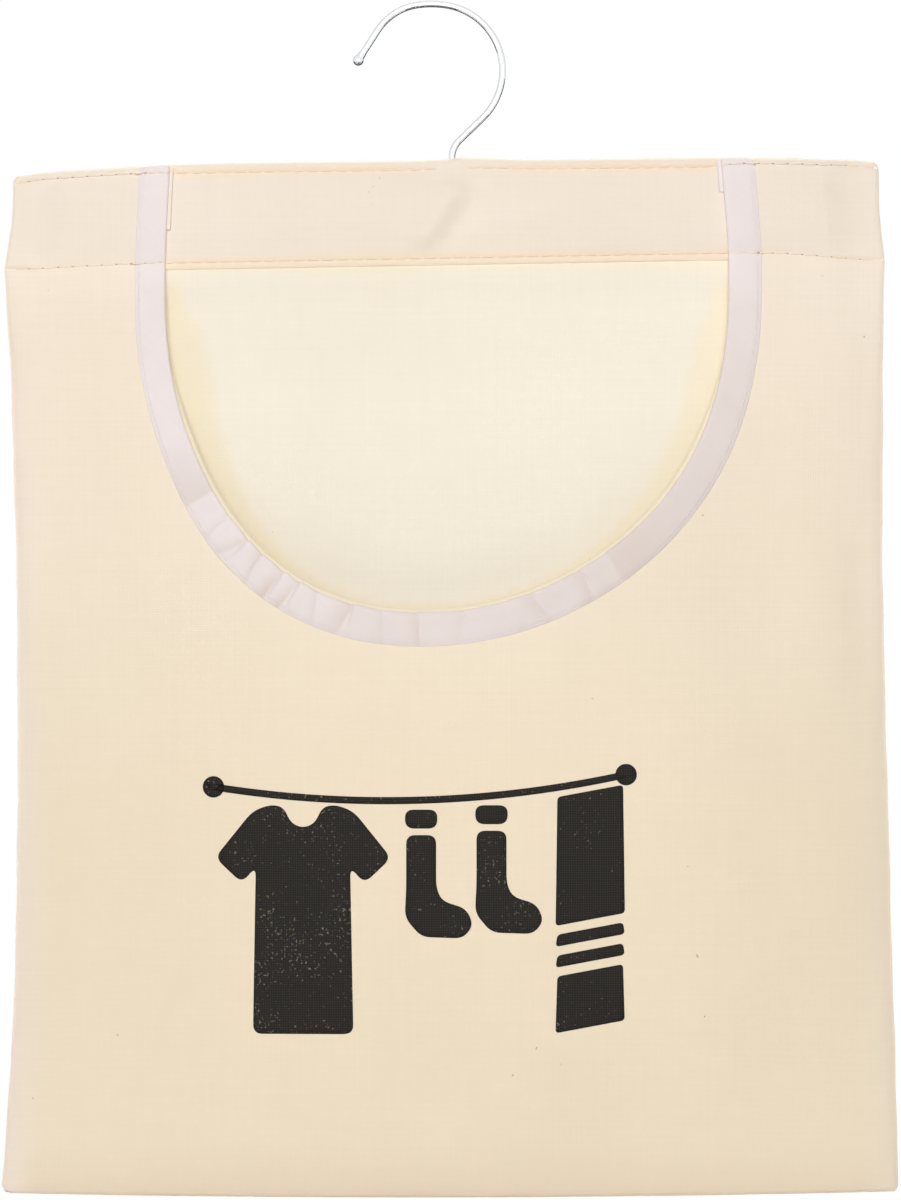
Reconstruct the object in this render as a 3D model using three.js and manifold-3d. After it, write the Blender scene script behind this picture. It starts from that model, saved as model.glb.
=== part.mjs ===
// Peg bag: a canvas pouch with a bound, U-shaped mouth, hung from a wooden bar and a swivelling wire hook.
// Millimetres, +Z up, the front faces -Y.
// The origin is on the hook's swivel axis, on the inside of the bow, where the hook rests on a rail.
import * as THREE from 'three';
import { mergeVertices } from 'three/addons/utils/BufferGeometryUtils.js';
import Module from 'manifold-3d';

const wasm = await Module();
wasm.setup();

// Thicknesses of what is laid together, and the clearance between pieces that touch
const CANVAS = 0.8;
const TAPE = 0.4;
const THREAD = 0.6;
const GAP = 0.3;

// Bag outline: distances from the swivel axis to the side edges at the top, how far each side then stands
// out from there at the lower row, the waist and the bottom, how late it flares below the waist and in the
// header, and heights below the top edge
const TOP_LEFT = 147.6;
const ROW_OUT_LEFT = 2.7;
const WAIST_IN_LEFT = 1.3;
const BOTTOM_OUT_LEFT = 4.3;
const TOP_RIGHT = 143.3;
const ROW_OUT_RIGHT = 2;
const WAIST_OUT_RIGHT = 1.7;
const BOTTOM_OUT_RIGHT = 7.2;
const LEFT_FLARE = 2.2;
const RIGHT_FLARE = 1.1;
const HEADER_FLARE = 2.5;
const LEFT_WAIST_DROP = 190;
const RIGHT_WAIST_DROP = 141;
const BAG_HEIGHT = 347.6;
const BOTTOM_SAG = 1.8;
const CORNER_RADIUS = 2.7;

// Pocket: how far the front panel stands off the back panel, where that is most, and how full its sides are
const BELLY_DEPTH = 18;
const BELLY_DROP = 188.5;
const BELLY_SIDE_POWER = 2.4;
const BELLY_BASE_POWER = 2.6;
const SHOULDER_EASE = 30;

// Header: the sleeve that holds the bar, from the heading down to the turned edge of the band.
// Its layers close together at the side ends, and part round the hook's shank.
const HEADING_HEIGHT = 3.2;
const ROOM_OVER_BAR = 9.4;
const ROOM_UNDER_BAR = 8.5;
const BAND_TURN = 2.2;
const END_CLOSING = 18;
const SHANK_CLEARANCE = 0.4;
const SHANK_EASE = 2.2;

// Mouth: half widths, the straight below the header, the round part, and how it leans
const MOUTH_LEFT = 97.2;
const MOUTH_RIGHT = 93.8;
const MOUTH_STRAIGHT = 11.3;
const MOUTH_ROUND = 106.2;
const MOUTH_POWER = 2.09;
const MOUTH_SKEW = 8.6;
const RIGHT_STRAP_LEAN = 4.3;
const TAPE_WIDTH = 10.2;
const TAPE_STITCH_INSET = 1.4;

// Seam allowances inside the bag
const SEAM_WIDTH = 8;
const SEAM_THICKNESS = 1.2;
const SEAM_INSET = 3.5;
const SIDE_SEAM_START = 28;
const BOTTOM_SEAM_END = 26;

// Hanger bar
const BAR_HEIGHT = 13;
const BAR_THICKNESS = 6;
const BAR_CORNER = 4;
const BAR_EASING = 1;
const WINDOW_FLOOR = 5;

// Hook: bent from one wire, with a ball at the tip
const WIRE = 2.2;
const HOOK_DROP = 50;
const BOW_RADIUS = 22.3;
const BOW_OFFSET = 5.3;
const BOW_END_DEG = 81;
const CREST_RADIUS = 32.9;
const CREST_END_DEG = 98;
const TIP_RADIUS = 19.2;
const TIP_END_DEG = 147;
const TIP_LENGTH = 11;
const NECK_DEG = 44;
const NECK_BEND = 8;
const BALL = 3.6;

// What holds the hook in the bar
const COLLAR_DIAMETER = 5;
const COLLAR_HEIGHT = 1.6;
const NUT_DIAMETER = 4.8;
const NUT_HEIGHT = 2.4;
const WASHER_HEIGHT = 0.6;

// Mesh fineness
const BODY_RINGS = 5;
const EDGE_RINGS = 4;
const CLOSING_ROWS = 4;
const SIDE_STATIONS = 9;
const BASE_STATIONS = 14;
const CORNER_ANGLE = Math.PI / 3;
const CORNER_STEP = 0.02;
const WIRE_SIDES = 8;
const WIRE_STEPS = 96;
const BOW_POINTS = 22;
const CREST_POINTS = 5;
const TIP_POINTS = 9;
const BEND_POINTS = 5;
const ROUND_SEGMENTS = 16;
const BALL_SEGMENTS = 12;

const { clamp, lerp, smoothstep, degToRad } = THREE.MathUtils;

// Heights, from the top edge down
const zTop = -HOOK_DROP;
const zUpperRow = zTop - HEADING_HEIGHT;
const zBarTop = zUpperRow - ROOM_OVER_BAR;
const zCollarTop = zBarTop + COLLAR_HEIGHT + 2 * GAP;
const zBarBottom = zBarTop - BAR_HEIGHT;
const zLowerRow = zBarBottom - ROOM_UNDER_BAR;
const zBandEdge = zLowerRow - BAND_TURN;
const zSpring = zBandEdge - MOUTH_STRAIGHT;
const zBottom = zTop - BAG_HEIGHT;

// Depths: the back panel's inner face, and the room between the front panel and the header band
const sleeveHalf = Math.max(BAR_THICKNESS, COLLAR_DIAMETER) / 2 + GAP;
const strapRoom = TAPE + 2 * GAP;
const shankOpening = WIRE / 2 + SHANK_CLEARANCE;
const shankSpread = WIRE / 2 + SHANK_EASE;

// How far a rounded corner draws the side edge in, at a distance from the top or bottom edge
function cornerInset(distance) {
  const left = clamp(CORNER_RADIUS - distance, 0, CORNER_RADIUS);
  return CORNER_RADIUS - Math.sqrt(CORNER_RADIUS ** 2 - left ** 2);
}

// Distance out to a side edge: a hollow curve between the header's lower row and the bottom
function edgeAt(z, atTop, atRow, zWaist, atWaist, atBottom, flare) {
  const above = clamp((z - zWaist) / (zLowerRow - zWaist), 0, 1);
  const below = clamp((zWaist - z) / (zWaist - zBottom), 0, 1);
  const inHeader = clamp((zTop - z) / (zTop - zLowerRow), 0, 1);
  const header = lerp(atTop, atRow, inHeader ** HEADER_FLARE);
  const body = atWaist + (atRow - atWaist) * above ** 2 + (atBottom - atWaist) * below ** flare;
  return (z > zLowerRow ? header : body) - cornerInset(zTop - z) - cornerInset(z - zBottom);
}
const bottomLeft = TOP_LEFT + BOTTOM_OUT_LEFT;
const bottomRight = TOP_RIGHT + BOTTOM_OUT_RIGHT;
const rowLeft = TOP_LEFT + ROW_OUT_LEFT;
const rowRight = TOP_RIGHT + ROW_OUT_RIGHT;
const waistLeft = [zTop - LEFT_WAIST_DROP, TOP_LEFT - WAIST_IN_LEFT];
const waistRight = [zTop - RIGHT_WAIST_DROP, TOP_RIGHT + WAIST_OUT_RIGHT];
const leftEdge = (z) => -edgeAt(z, TOP_LEFT, rowLeft, ...waistLeft, bottomLeft, LEFT_FLARE);
const rightEdge = (z) => edgeAt(z, TOP_RIGHT, rowRight, ...waistRight, bottomRight, RIGHT_FLARE);

// The bottom edge hangs a little lower in the middle
function bottomEdge(x) {
  const half = (bottomLeft + bottomRight) / 2;
  const middle = (bottomRight - bottomLeft) / 2;
  return zBottom - BOTTOM_SAG * Math.max(0, 1 - ((x - middle) / half) ** 2);
}

// Half the space between the two layers of the sleeve above the bar; they part round the hook's shank
function headingHalf(x, z) {
  const half = lerp(sleeveHalf, GAP / 2, smoothstep(z, zCollarTop, zUpperRow));
  return half + Math.max(0, shankOpening - half) * Math.exp(-((x / shankSpread) ** 2));
}

// Inner faces, as depths along Y
const backFace = (x, z) => (z > zBarTop ? headingHalf(x, z) : sleeveHalf);

function bandFace(x, z) {
  const towardsRow = smoothstep(zBarBottom - z, 0, ROOM_UNDER_BAR);
  const sleeve = z > zBarTop ? -headingHalf(x, z) : lerp(-sleeveHalf, sleeveHalf - GAP, towardsRow);
  const fromEnd = Math.min(x - leftEdge(z), rightEdge(z) - x);
  return lerp(backFace(x, z) - GAP, sleeve, smoothstep(fromEnd, 0, END_CLOSING));
}

// How far the front panel's inner face stands off the back panel, below the lower row
function pocketDepth(x, z) {
  const left = leftEdge(z);
  const right = rightEdge(z);
  const across = Math.min(1, Math.abs((2 * x - left - right) / (right - left)));
  const drop = zLowerRow - z;
  const fullDrop = zLowerRow - bottomEdge(x);
  const above = Math.max(0, 1 - drop / BELLY_DROP);
  const below = Math.min(1, Math.max(0, (drop - BELLY_DROP) / (fullDrop - BELLY_DROP)));
  const profile = (1 - above ** 2) * (1 - below ** BELLY_BASE_POWER);
  const layers = (CANVAS + strapRoom) * (1 - smoothstep(drop, 0, SHOULDER_EASE));
  return GAP + layers + BELLY_DEPTH * profile * (1 - across ** BELLY_SIDE_POWER);
}

function frontFace(x, z) {
  if (z >= zLowerRow) return bandFace(x, z) - CANVAS - strapRoom;
  return sleeveHalf - pocketDepth(x, z);
}

// Solid between a front and a back row of points, carried through a list of sections
function loft(sections) {
  const width = sections[0].front.length;
  const positions = [];
  sections.forEach(({ front, back }) => [...front, ...back].forEach((p) => positions.push(p.x, p.y, p.z)));
  const front = (i, j) => i * 2 * width + j;
  const back = (i, j) => front(i, j) + width;
  const faces = [];
  const quad = (a, b, c, d) => faces.push([a, b, c], [a, c, d]);
  const endSection = sections.length - 1;
  const endPoint = width - 1;
  for (let i = 0; i < endSection; i += 1) {
    for (let j = 0; j < endPoint; j += 1) {
      quad(front(i, j), front(i, j + 1), front(i + 1, j + 1), front(i + 1, j));
      faces.push([back(i, j), back(i + 1, j + 1), back(i, j + 1)]);
      faces.push([back(i, j), back(i + 1, j), back(i + 1, j + 1)]);
    }
    quad(front(i, 0), front(i + 1, 0), back(i + 1, 0), back(i, 0));
    quad(front(i + 1, endPoint), front(i, endPoint), back(i, endPoint), back(i + 1, endPoint));
  }
  for (let j = 0; j < endPoint; j += 1) {
    quad(front(0, j + 1), front(0, j), back(0, j), back(0, j + 1));
    quad(front(endSection, j), front(endSection, j + 1), back(endSection, j + 1), back(endSection, j));
  }
  const corner = (k) => new THREE.Vector3().fromArray(positions, 3 * k);
  const volume = faces.reduce((sum, [a, b, c]) => sum + corner(a).dot(corner(b).cross(corner(c))), 0);
  if (volume < 0) faces.forEach((face) => face.reverse());
  const geometry = new THREE.BufferGeometry();
  geometry.setAttribute('position', new THREE.Float32BufferAttribute(positions, 3));
  geometry.setIndex(faces.flat());
  return geometry;
}

const point = (x, y, z) => new THREE.Vector3(x, y, z);

// A layer of cloth in front of a depth function, over rows of places on the XZ plane
function clothSheet(rows, face, thickness) {
  return loft(rows.map((row) => ({
    front: row.map((p) => point(p.x, face(p.x, p.y) - thickness, p.y)),
    back: row.map((p) => point(p.x, face(p.x, p.y), p.y)),
  })));
}

function toSolid(geometry) {
  const bare = geometry.clone();
  bare.deleteAttribute('normal');
  bare.deleteAttribute('uv');
  const merged = mergeVertices(bare, 1e-4);
  return new wasm.Manifold(new wasm.Mesh({
    numProp: 3,
    vertProperties: new Float32Array(merged.attributes.position.array),
    triVerts: new Uint32Array(merged.index.array),
  }));
}

function toGeometry(solid) {
  const mesh = solid.getMesh();
  const geometry = new THREE.BufferGeometry();
  geometry.setAttribute('position', new THREE.BufferAttribute(new Float32Array(mesh.vertProperties), 3));
  geometry.setIndex(new THREE.BufferAttribute(new Uint32Array(mesh.triVerts), 1));
  return geometry;
}

// Header rows, close together where the sleeve's layers come together
function closingRows(from, to) {
  return Array.from({ length: CLOSING_ROWS }, (_, k) => lerp(from, to, k / CLOSING_ROWS));
}

const cornerRise = CORNER_RADIUS * (1 - Math.SQRT1_2);
const headerRows = [
  zTop,
  zTop - cornerRise,
  ...closingRows(zUpperRow, zCollarTop),
  zCollarTop,
  ...closingRows(zBarBottom, zLowerRow),
  zLowerRow,
  zBandEdge,
];
const strapRows = [...headerRows, (zBandEdge + zSpring) / 2, zSpring];

// The round of the mouth, from the left strap (0) to the right strap (pi)
function mouthPoint(angle) {
  const half = (MOUTH_LEFT + MOUTH_RIGHT) / 2;
  const middle = (MOUTH_RIGHT - MOUTH_LEFT) / 2;
  const depth = Math.abs(Math.sin(angle)) ** (2 / MOUTH_POWER);
  const reach = Math.sign(Math.cos(angle)) * Math.abs(Math.cos(angle)) ** (2 / MOUTH_POWER);
  return new THREE.Vector2(middle - half * reach - MOUTH_SKEW * depth ** 3, zSpring - MOUTH_ROUND * depth);
}

function mouthNormal(angle) {
  const step = 0.01;
  const along = mouthPoint(angle + step).sub(mouthPoint(angle - step)).normalize();
  return new THREE.Vector2(along.y, -along.x);
}

// Stations along the mouth: a point on its edge, the way outwards, and the point on the bag's edge it faces
function strapStation(z, side) {
  const lean = RIGHT_STRAP_LEAN * Math.max(0, (z - zLowerRow) / (zTop - zLowerRow));
  const inner = side < 0 ? -MOUTH_LEFT : MOUTH_RIGHT - lean;
  return {
    inner: new THREE.Vector2(inner, z),
    normal: new THREE.Vector2(side, 0),
    outer: new THREE.Vector2(side < 0 ? leftEdge(z) : rightEdge(z), z),
  };
}

function roundStation(angle, outer) {
  return { inner: mouthPoint(angle), normal: mouthNormal(angle), outer };
}

// Shares of the way round to the bottom corner, with the height on the side edge that each one faces
function sidePlaces() {
  const places = [];
  for (let k = 1; k <= SIDE_STATIONS; k += 1) {
    const share = k / SIDE_STATIONS;
    places.push([share * CORNER_ANGLE, lerp(zSpring, zBottom + CORNER_RADIUS, share)]);
  }
  places.push([CORNER_ANGLE + CORNER_STEP, zBottom + cornerRise]);
  return places;
}

function roundStations() {
  const baseStart = CORNER_ANGLE + 2 * CORNER_STEP;
  const onEdge = (edge, z) => new THREE.Vector2(edge(z), z);
  const left = sidePlaces().map(([angle, z]) => roundStation(angle, onEdge(leftEdge, z)));
  const right = sidePlaces().map(([angle, z]) => roundStation(Math.PI - angle, onEdge(rightEdge, z)));
  const base = [];
  for (let k = 0; k <= BASE_STATIONS; k += 1) {
    const share = k / BASE_STATIONS;
    const x = lerp(leftEdge(zBottom), rightEdge(zBottom), share);
    const angle = lerp(baseStart, Math.PI - baseStart, share);
    base.push(roundStation(angle, new THREE.Vector2(x, bottomEdge(x))));
  }
  return [...left, ...base, ...right.reverse()];
}

const stations = [
  ...strapRows.map((z) => strapStation(z, -1)),
  ...roundStations(),
  ...[...strapRows].reverse().map((z) => strapStation(z, 1)),
];

// Places across the front panel at a station: under the tape first, then on to the bag's edge
function panelRow({ inner, normal, outer }) {
  const under = [0, TAPE_WIDTH / 2, TAPE_WIDTH].map((n) => inner.clone().addScaledVector(normal, n));
  const start = under[under.length - 1];
  const span = start.distanceTo(outer);
  const body = Math.max(0, 1 - END_CLOSING / span);
  const shares = [];
  for (let k = 1; k <= BODY_RINGS; k += 1) shares.push(body * (k / BODY_RINGS));
  for (let k = 1; k <= EDGE_RINGS; k += 1) shares.push(lerp(body, 1, k / EDGE_RINGS));
  return [...under, ...shares.map((share) => start.clone().lerp(outer, share))];
}

// Places on both sides of the shank, where the sleeve's layers part
const shankPlaces = [-2.6, -1.6, -1, -0.5, 0, 0.5, 1, 1.6, 2.6].map((n) => n * shankSpread);

function frontPanel() {
  return clothSheet(stations.map(panelRow), frontFace, CANVAS);
}

function headerBand() {
  const rows = headerRows.map((z) => {
    const left = panelRow(strapStation(z, -1)).reverse();
    const right = panelRow(strapStation(z, 1));
    const middle = [-MOUTH_LEFT / 2, ...shankPlaces, MOUTH_RIGHT / 2].map((x) => new THREE.Vector2(x, z));
    return [...left, ...middle, ...right];
  });
  return clothSheet(rows, bandFace, CANVAS);
}

function backPanel() {
  const upper = headerRows.filter((z) => z >= zCollarTop || z === zLowerRow);
  const lower = [...sidePlaces().map(([, z]) => z), zBottom];
  const atHeight = (z) => [leftEdge(z), -MOUTH_LEFT, -MOUTH_LEFT / 2, ...shankPlaces,
    MOUTH_RIGHT / 2, MOUTH_RIGHT, rightEdge(z)];
  const rows = upper.map((z) => atHeight(z).map((x) => new THREE.Vector2(x, z)));
  lower.forEach((z) => {
    const share = (zLowerRow - z) / (zLowerRow - zBottom);
    rows.push(atHeight(z).map((x) => new THREE.Vector2(x, lerp(zLowerRow, bottomEdge(x), share))));
  });
  return clothSheet(rows, (x, z) => backFace(x, z) + CANVAS, CANVAS);
}

// Tape folded round the mouth's edge, over the same places as the panel it grips
function mouthBinding() {
  const outside = GAP + TAPE;
  return loft(stations.map((station) => {
    const row = panelRow(station).slice(0, 3).reverse();
    const edge = row[row.length - 1];
    const face = frontFace(edge.x, edge.y);
    const beyond = (n) => edge.clone().addScaledVector(station.normal, -n);
    const leaf = (front, offset) => row.map((p) => point(
      p.x, frontFace(p.x, p.y) + (front ? -CANVAS - offset : offset), p.y));
    const wrap = (n) => {
      const p = beyond(n);
      return [point(p.x, face - CANVAS - n, p.y), point(p.x, face + n, p.y)];
    };
    return {
      front: [...leaf(true, outside), ...wrap(outside), ...leaf(false, outside).reverse()],
      back: [...leaf(true, GAP), ...wrap(GAP), ...leaf(false, GAP).reverse()],
    };
  }));
}

// Seam allowance strip lying on the back panel; across and along give its places
function seamStrip(count, placeAt) {
  const back = sleeveHalf - GAP;
  const sections = Array.from({ length: count + 1 }, (_, i) => {
    const places = [0, 0.5, 1].map((share) => placeAt(i / count, SEAM_INSET + share * SEAM_WIDTH));
    return {
      front: places.map((p) => point(
        p.x, Math.max(frontFace(p.x, p.y) + GAP, back - SEAM_THICKNESS), p.y)),
      back: places.map((p) => point(p.x, back, p.y)),
    };
  });
  return loft(sections);
}

function sideSeam(side) {
  const start = zBandEdge - SIDE_SEAM_START;
  const end = zBottom + SEAM_INSET + SEAM_WIDTH + GAP;
  return seamStrip(SIDE_STATIONS, (along, inset) => {
    const z = lerp(start, end, along);
    return new THREE.Vector2(side < 0 ? leftEdge(z) + inset : rightEdge(z) - inset, z);
  });
}

function bottomSeam() {
  return seamStrip(BASE_STATIONS, (along, inset) => {
    const x = lerp(-bottomLeft + BOTTOM_SEAM_END, bottomRight - BOTTOM_SEAM_END, along);
    return new THREE.Vector2(x, bottomEdge(x) + inset);
  });
}

// A row of stitching across the header: along the shoulders, over the tape and along the band
function rowStitching(z) {
  const path = [];
  const onPanel = (x) => frontFace(x, z) - CANVAS - GAP;
  const onTape = (x) => onPanel(x) - TAPE - GAP;
  const onBand = (x) => bandFace(x, z) - CANVAS - GAP;
  const shoulder = (side) => {
    const station = strapStation(z, side);
    const row = panelRow(station);
    const tapeEdge = row[2].x;
    const mouthEdge = row[0].x;
    const steps = row.slice(3).reverse().map((p) => [p.x, onPanel(p.x)]);
    steps[0][0] -= side * GAP;
    steps.push([tapeEdge + side * 2 * GAP, onPanel(tapeEdge)]);
    steps.push([tapeEdge + side * GAP, onTape(tapeEdge)]);
    steps.push([row[1].x, onTape(row[1].x)]);
    const overEdge = mouthEdge - side * (TAPE + 2 * GAP);
    steps.push([overEdge, onTape(mouthEdge)]);
    steps.push([overEdge - side * 2 * THREAD, onBand(overEdge)]);
    return steps;
  };
  path.push(...shoulder(-1), ...shankPlaces.map((x) => [x, onBand(x)]), ...shoulder(1).reverse());
  const half = THREAD / 2;
  return loft(path.map(([x, y]) => ({
    front: [point(x, y - THREAD, z + half), point(x, y - THREAD, z - half)],
    back: [point(x, y, z + half), point(x, y, z - half)],
  })));
}

// Edge stitching along the tape's outer edge, from strap to strap below the lower row
function bindingStitching() {
  const below = stations.filter(({ inner }) => inner.y < zLowerRow - THREAD);
  return loft(below.map((station) => {
    const [, middle, edge] = panelRow(station);
    const place = (inset) => edge.clone().lerp(middle, inset / (TAPE_WIDTH / 2));
    const depth = (inset) => {
      const share = inset / (TAPE_WIDTH / 2);
      return lerp(frontFace(edge.x, edge.y), frontFace(middle.x, middle.y), share) - CANVAS - TAPE - 2 * GAP;
    };
    const rail = (height) => [TAPE_STITCH_INSET - THREAD / 2, TAPE_STITCH_INSET + THREAD / 2].map((inset) => {
      const p = place(inset);
      return point(p.x, depth(inset) - height, p.y);
    });
    return { front: rail(THREAD), back: rail(0) };
  }));
}

function upright(radius, low, high) {
  const geometry = new THREE.CylinderGeometry(radius, radius, high - low, ROUND_SEGMENTS);
  geometry.rotateX(Math.PI / 2);
  geometry.translate(0, 0, (low + high) / 2);
  return geometry;
}

// Ring round the shank
function shankRing(diameter, low, high) {
  const inner = WIRE / 2 + GAP;
  const outer = diameter / 2;
  const profile = [[inner, low], [outer, low], [outer, high], [inner, high], [inner, low]];
  const geometry = new THREE.LatheGeometry(profile.map(([r, z]) => new THREE.Vector2(r, z)), ROUND_SEGMENTS);
  geometry.rotateX(Math.PI / 2);
  return geometry;
}

// The washer and nut sit in a window cut through the bar
const zNutBottom = zBarBottom + WINDOW_FLOOR + GAP;
const zNutTop = zNutBottom + NUT_HEIGHT;
const zWasherTop = zNutTop + GAP + WASHER_HEIGHT;
const zWindowTop = zWasherTop + GAP;

function roundedRectangle(left, right, low, high, radius) {
  const shape = new THREE.Shape();
  shape.moveTo(left + radius, low);
  shape.lineTo(right - radius, low);
  shape.absarc(right - radius, low + radius, radius, -Math.PI / 2, 0);
  shape.lineTo(right, high - radius);
  shape.absarc(right - radius, high - radius, radius, 0, Math.PI / 2);
  shape.lineTo(left + radius, high);
  shape.absarc(left + radius, high - radius, radius, Math.PI / 2, Math.PI);
  shape.lineTo(left, low + radius);
  shape.absarc(left + radius, low + radius, radius, Math.PI, 1.5 * Math.PI);
  return shape;
}

function hangerBar() {
  const inside = END_CLOSING + GAP;
  const shape = roundedRectangle(
    -TOP_LEFT + inside + BAR_EASING, TOP_RIGHT - inside - BAR_EASING,
    zBarBottom + BAR_EASING, zBarTop - BAR_EASING, BAR_CORNER - BAR_EASING);
  const blank = new THREE.ExtrudeGeometry(shape, {
    depth: BAR_THICKNESS - 2 * BAR_EASING,
    bevelThickness: BAR_EASING,
    bevelSize: BAR_EASING,
    bevelSegments: 2,
    curveSegments: 5,
  });
  blank.translate(0, 0, BAR_EASING - BAR_THICKNESS / 2);
  blank.rotateX(Math.PI / 2);
  const bore = upright(WIRE / 2 + GAP, zWindowTop - GAP, zBarTop + GAP);
  const windowHeight = zWindowTop - zNutBottom + GAP;
  const opening = new THREE.BoxGeometry(NUT_DIAMETER + 4 * GAP, 2 * BAR_THICKNESS, windowHeight);
  opening.translate(0, 0, zWindowTop - windowHeight / 2);
  return toGeometry(toSolid(blank).subtract(toSolid(bore)).subtract(toSolid(opening)));
}

// The wire's centreline: up the shank, along the neck, round the bow and its flatter crest, down to the tip
function hookPath() {
  const neck = degToRad(NECK_DEG);
  const arc = (cx, cz, radius, from, to, steps) => Array.from({ length: steps + 1 }, (_, k) => {
    const angle = lerp(from, to, k / steps);
    return point(cx + radius * Math.cos(angle), 0, cz + radius * Math.sin(angle));
  });
  const seatRadius = BOW_RADIUS - WIRE / 2;
  const bowX = -BOW_OFFSET;
  const bowZ = -Math.sqrt(seatRadius ** 2 - BOW_OFFSET ** 2);
  const bowEnd = degToRad(BOW_END_DEG);
  const crestEnd = degToRad(CREST_END_DEG);
  const tipEnd = degToRad(TIP_END_DEG);
  const bow = arc(bowX, bowZ, BOW_RADIUS, neck - Math.PI / 2, bowEnd, BOW_POINTS);
  const crestShift = BOW_RADIUS - CREST_RADIUS;
  const crestX = bowX + crestShift * Math.cos(bowEnd);
  const crestZ = bowZ + crestShift * Math.sin(bowEnd);
  const crest = arc(crestX, crestZ, CREST_RADIUS, bowEnd, crestEnd, CREST_POINTS).slice(1);
  const tipShift = CREST_RADIUS - TIP_RADIUS;
  const tipX = crestX + tipShift * Math.cos(crestEnd);
  const tipZ = crestZ + tipShift * Math.sin(crestEnd);
  const tipArc = arc(tipX, tipZ, TIP_RADIUS, crestEnd, tipEnd, TIP_POINTS).slice(1);
  const bendX = NECK_BEND * (1 - Math.sin(neck));
  const neckLength = (bow[0].x - bendX) / Math.cos(neck);
  const bendTop = bow[0].z - neckLength * Math.sin(neck);
  const bendBottom = bendTop - NECK_BEND * Math.cos(neck);
  const bend = arc(NECK_BEND, bendBottom, NECK_BEND, Math.PI, Math.PI / 2 + neck, BEND_POINTS);
  const neckMiddle = bend[bend.length - 1].clone().lerp(bow[0], 0.5);
  const shank = [point(0, 0, zNutBottom), point(0, 0, zBarTop), point(0, 0, (zBarTop + bendBottom) / 2)];
  const tipStart = tipArc[tipArc.length - 1];
  const tip = tipStart.clone().add(point(-Math.sin(tipEnd), 0, Math.cos(tipEnd)).multiplyScalar(TIP_LENGTH));
  return [...shank, ...bend, neckMiddle, ...bow, ...crest, ...tipArc, tip];
}

function hookWire() {
  const path = hookPath();
  const section = new THREE.Shape().absarc(0, 0, WIRE / 2, 0, 2 * Math.PI);
  const wire = new THREE.ExtrudeGeometry(section, {
    steps: WIRE_STEPS,
    curveSegments: WIRE_SIDES / 2,
    extrudePath: new THREE.CatmullRomCurve3(path, false, 'centripetal'),
  });
  const ball = new THREE.SphereGeometry(BALL / 2, BALL_SEGMENTS, BALL_SEGMENTS / 2);
  const tip = path[path.length - 1];
  ball.translate(tip.x, tip.y, tip.z);
  return toGeometry(toSolid(wire).add(toSolid(ball)));
}

function finish(color, roughness, metalness = 0) {
  return new THREE.MeshStandardMaterial({ color, roughness, metalness });
}

const canvas = finish('#f2e2cb', 0.9);
const cottonTape = finish('#efe4e0', 0.85);
const cottonThread = finish('#f4e3cf', 0.8);
const beech = finish('#d8b489', 0.6);
const chromedWire = finish('#c9ccd1', 0.12, 1);
const zincPlate = finish('#b4b8bc', 0.35, 1);

const bag = new THREE.Group();
const hook = new THREE.Group();

function piece(group, name, geometry, material) {
  const mesh = new THREE.Mesh(geometry, material);
  mesh.name = name;
  group.add(mesh);
}

piece(bag, 'back_panel', backPanel(), canvas);
piece(bag, 'front_panel', frontPanel(), canvas);
piece(bag, 'header_band', headerBand(), canvas);
piece(bag, 'mouth_binding', mouthBinding(), cottonTape);
piece(bag, 'left_side_seam', sideSeam(-1), canvas);
piece(bag, 'right_side_seam', sideSeam(1), canvas);
piece(bag, 'bottom_seam', bottomSeam(), canvas);
piece(bag, 'upper_row_stitching', rowStitching(zUpperRow), cottonThread);
piece(bag, 'lower_row_stitching', rowStitching(zLowerRow), cottonThread);
piece(bag, 'binding_stitching', bindingStitching(), cottonThread);
piece(bag, 'hanger_bar', hangerBar(), beech);

piece(hook, 'hook_wire', hookWire(), chromedWire);
piece(hook, 'hook_collar', shankRing(COLLAR_DIAMETER, zBarTop + GAP, zCollarTop - GAP), zincPlate);
piece(hook, 'retaining_washer', shankRing(NUT_DIAMETER, zWasherTop - WASHER_HEIGHT, zWasherTop), zincPlate);
piece(hook, 'retaining_nut', shankRing(NUT_DIAMETER, zNutBottom, zNutTop), zincPlate);

const pegBag = new THREE.Group();
pegBag.add(hook, bag);

export default pegBag;
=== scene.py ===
"""Peg bag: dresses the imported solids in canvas, tape, stitches, a print and chromed wire.

Metres, +Z up, the front faces -Y, the origin is where the hook rests on a rail.
Cloth is drawn first in a level frame, where the stitched rows are straight, and then tilted as it hangs.
"""

import math

import bpy
import numpy as np
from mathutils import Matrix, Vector
from mathutils.geometry import delaunay_2d_cdt


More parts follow.
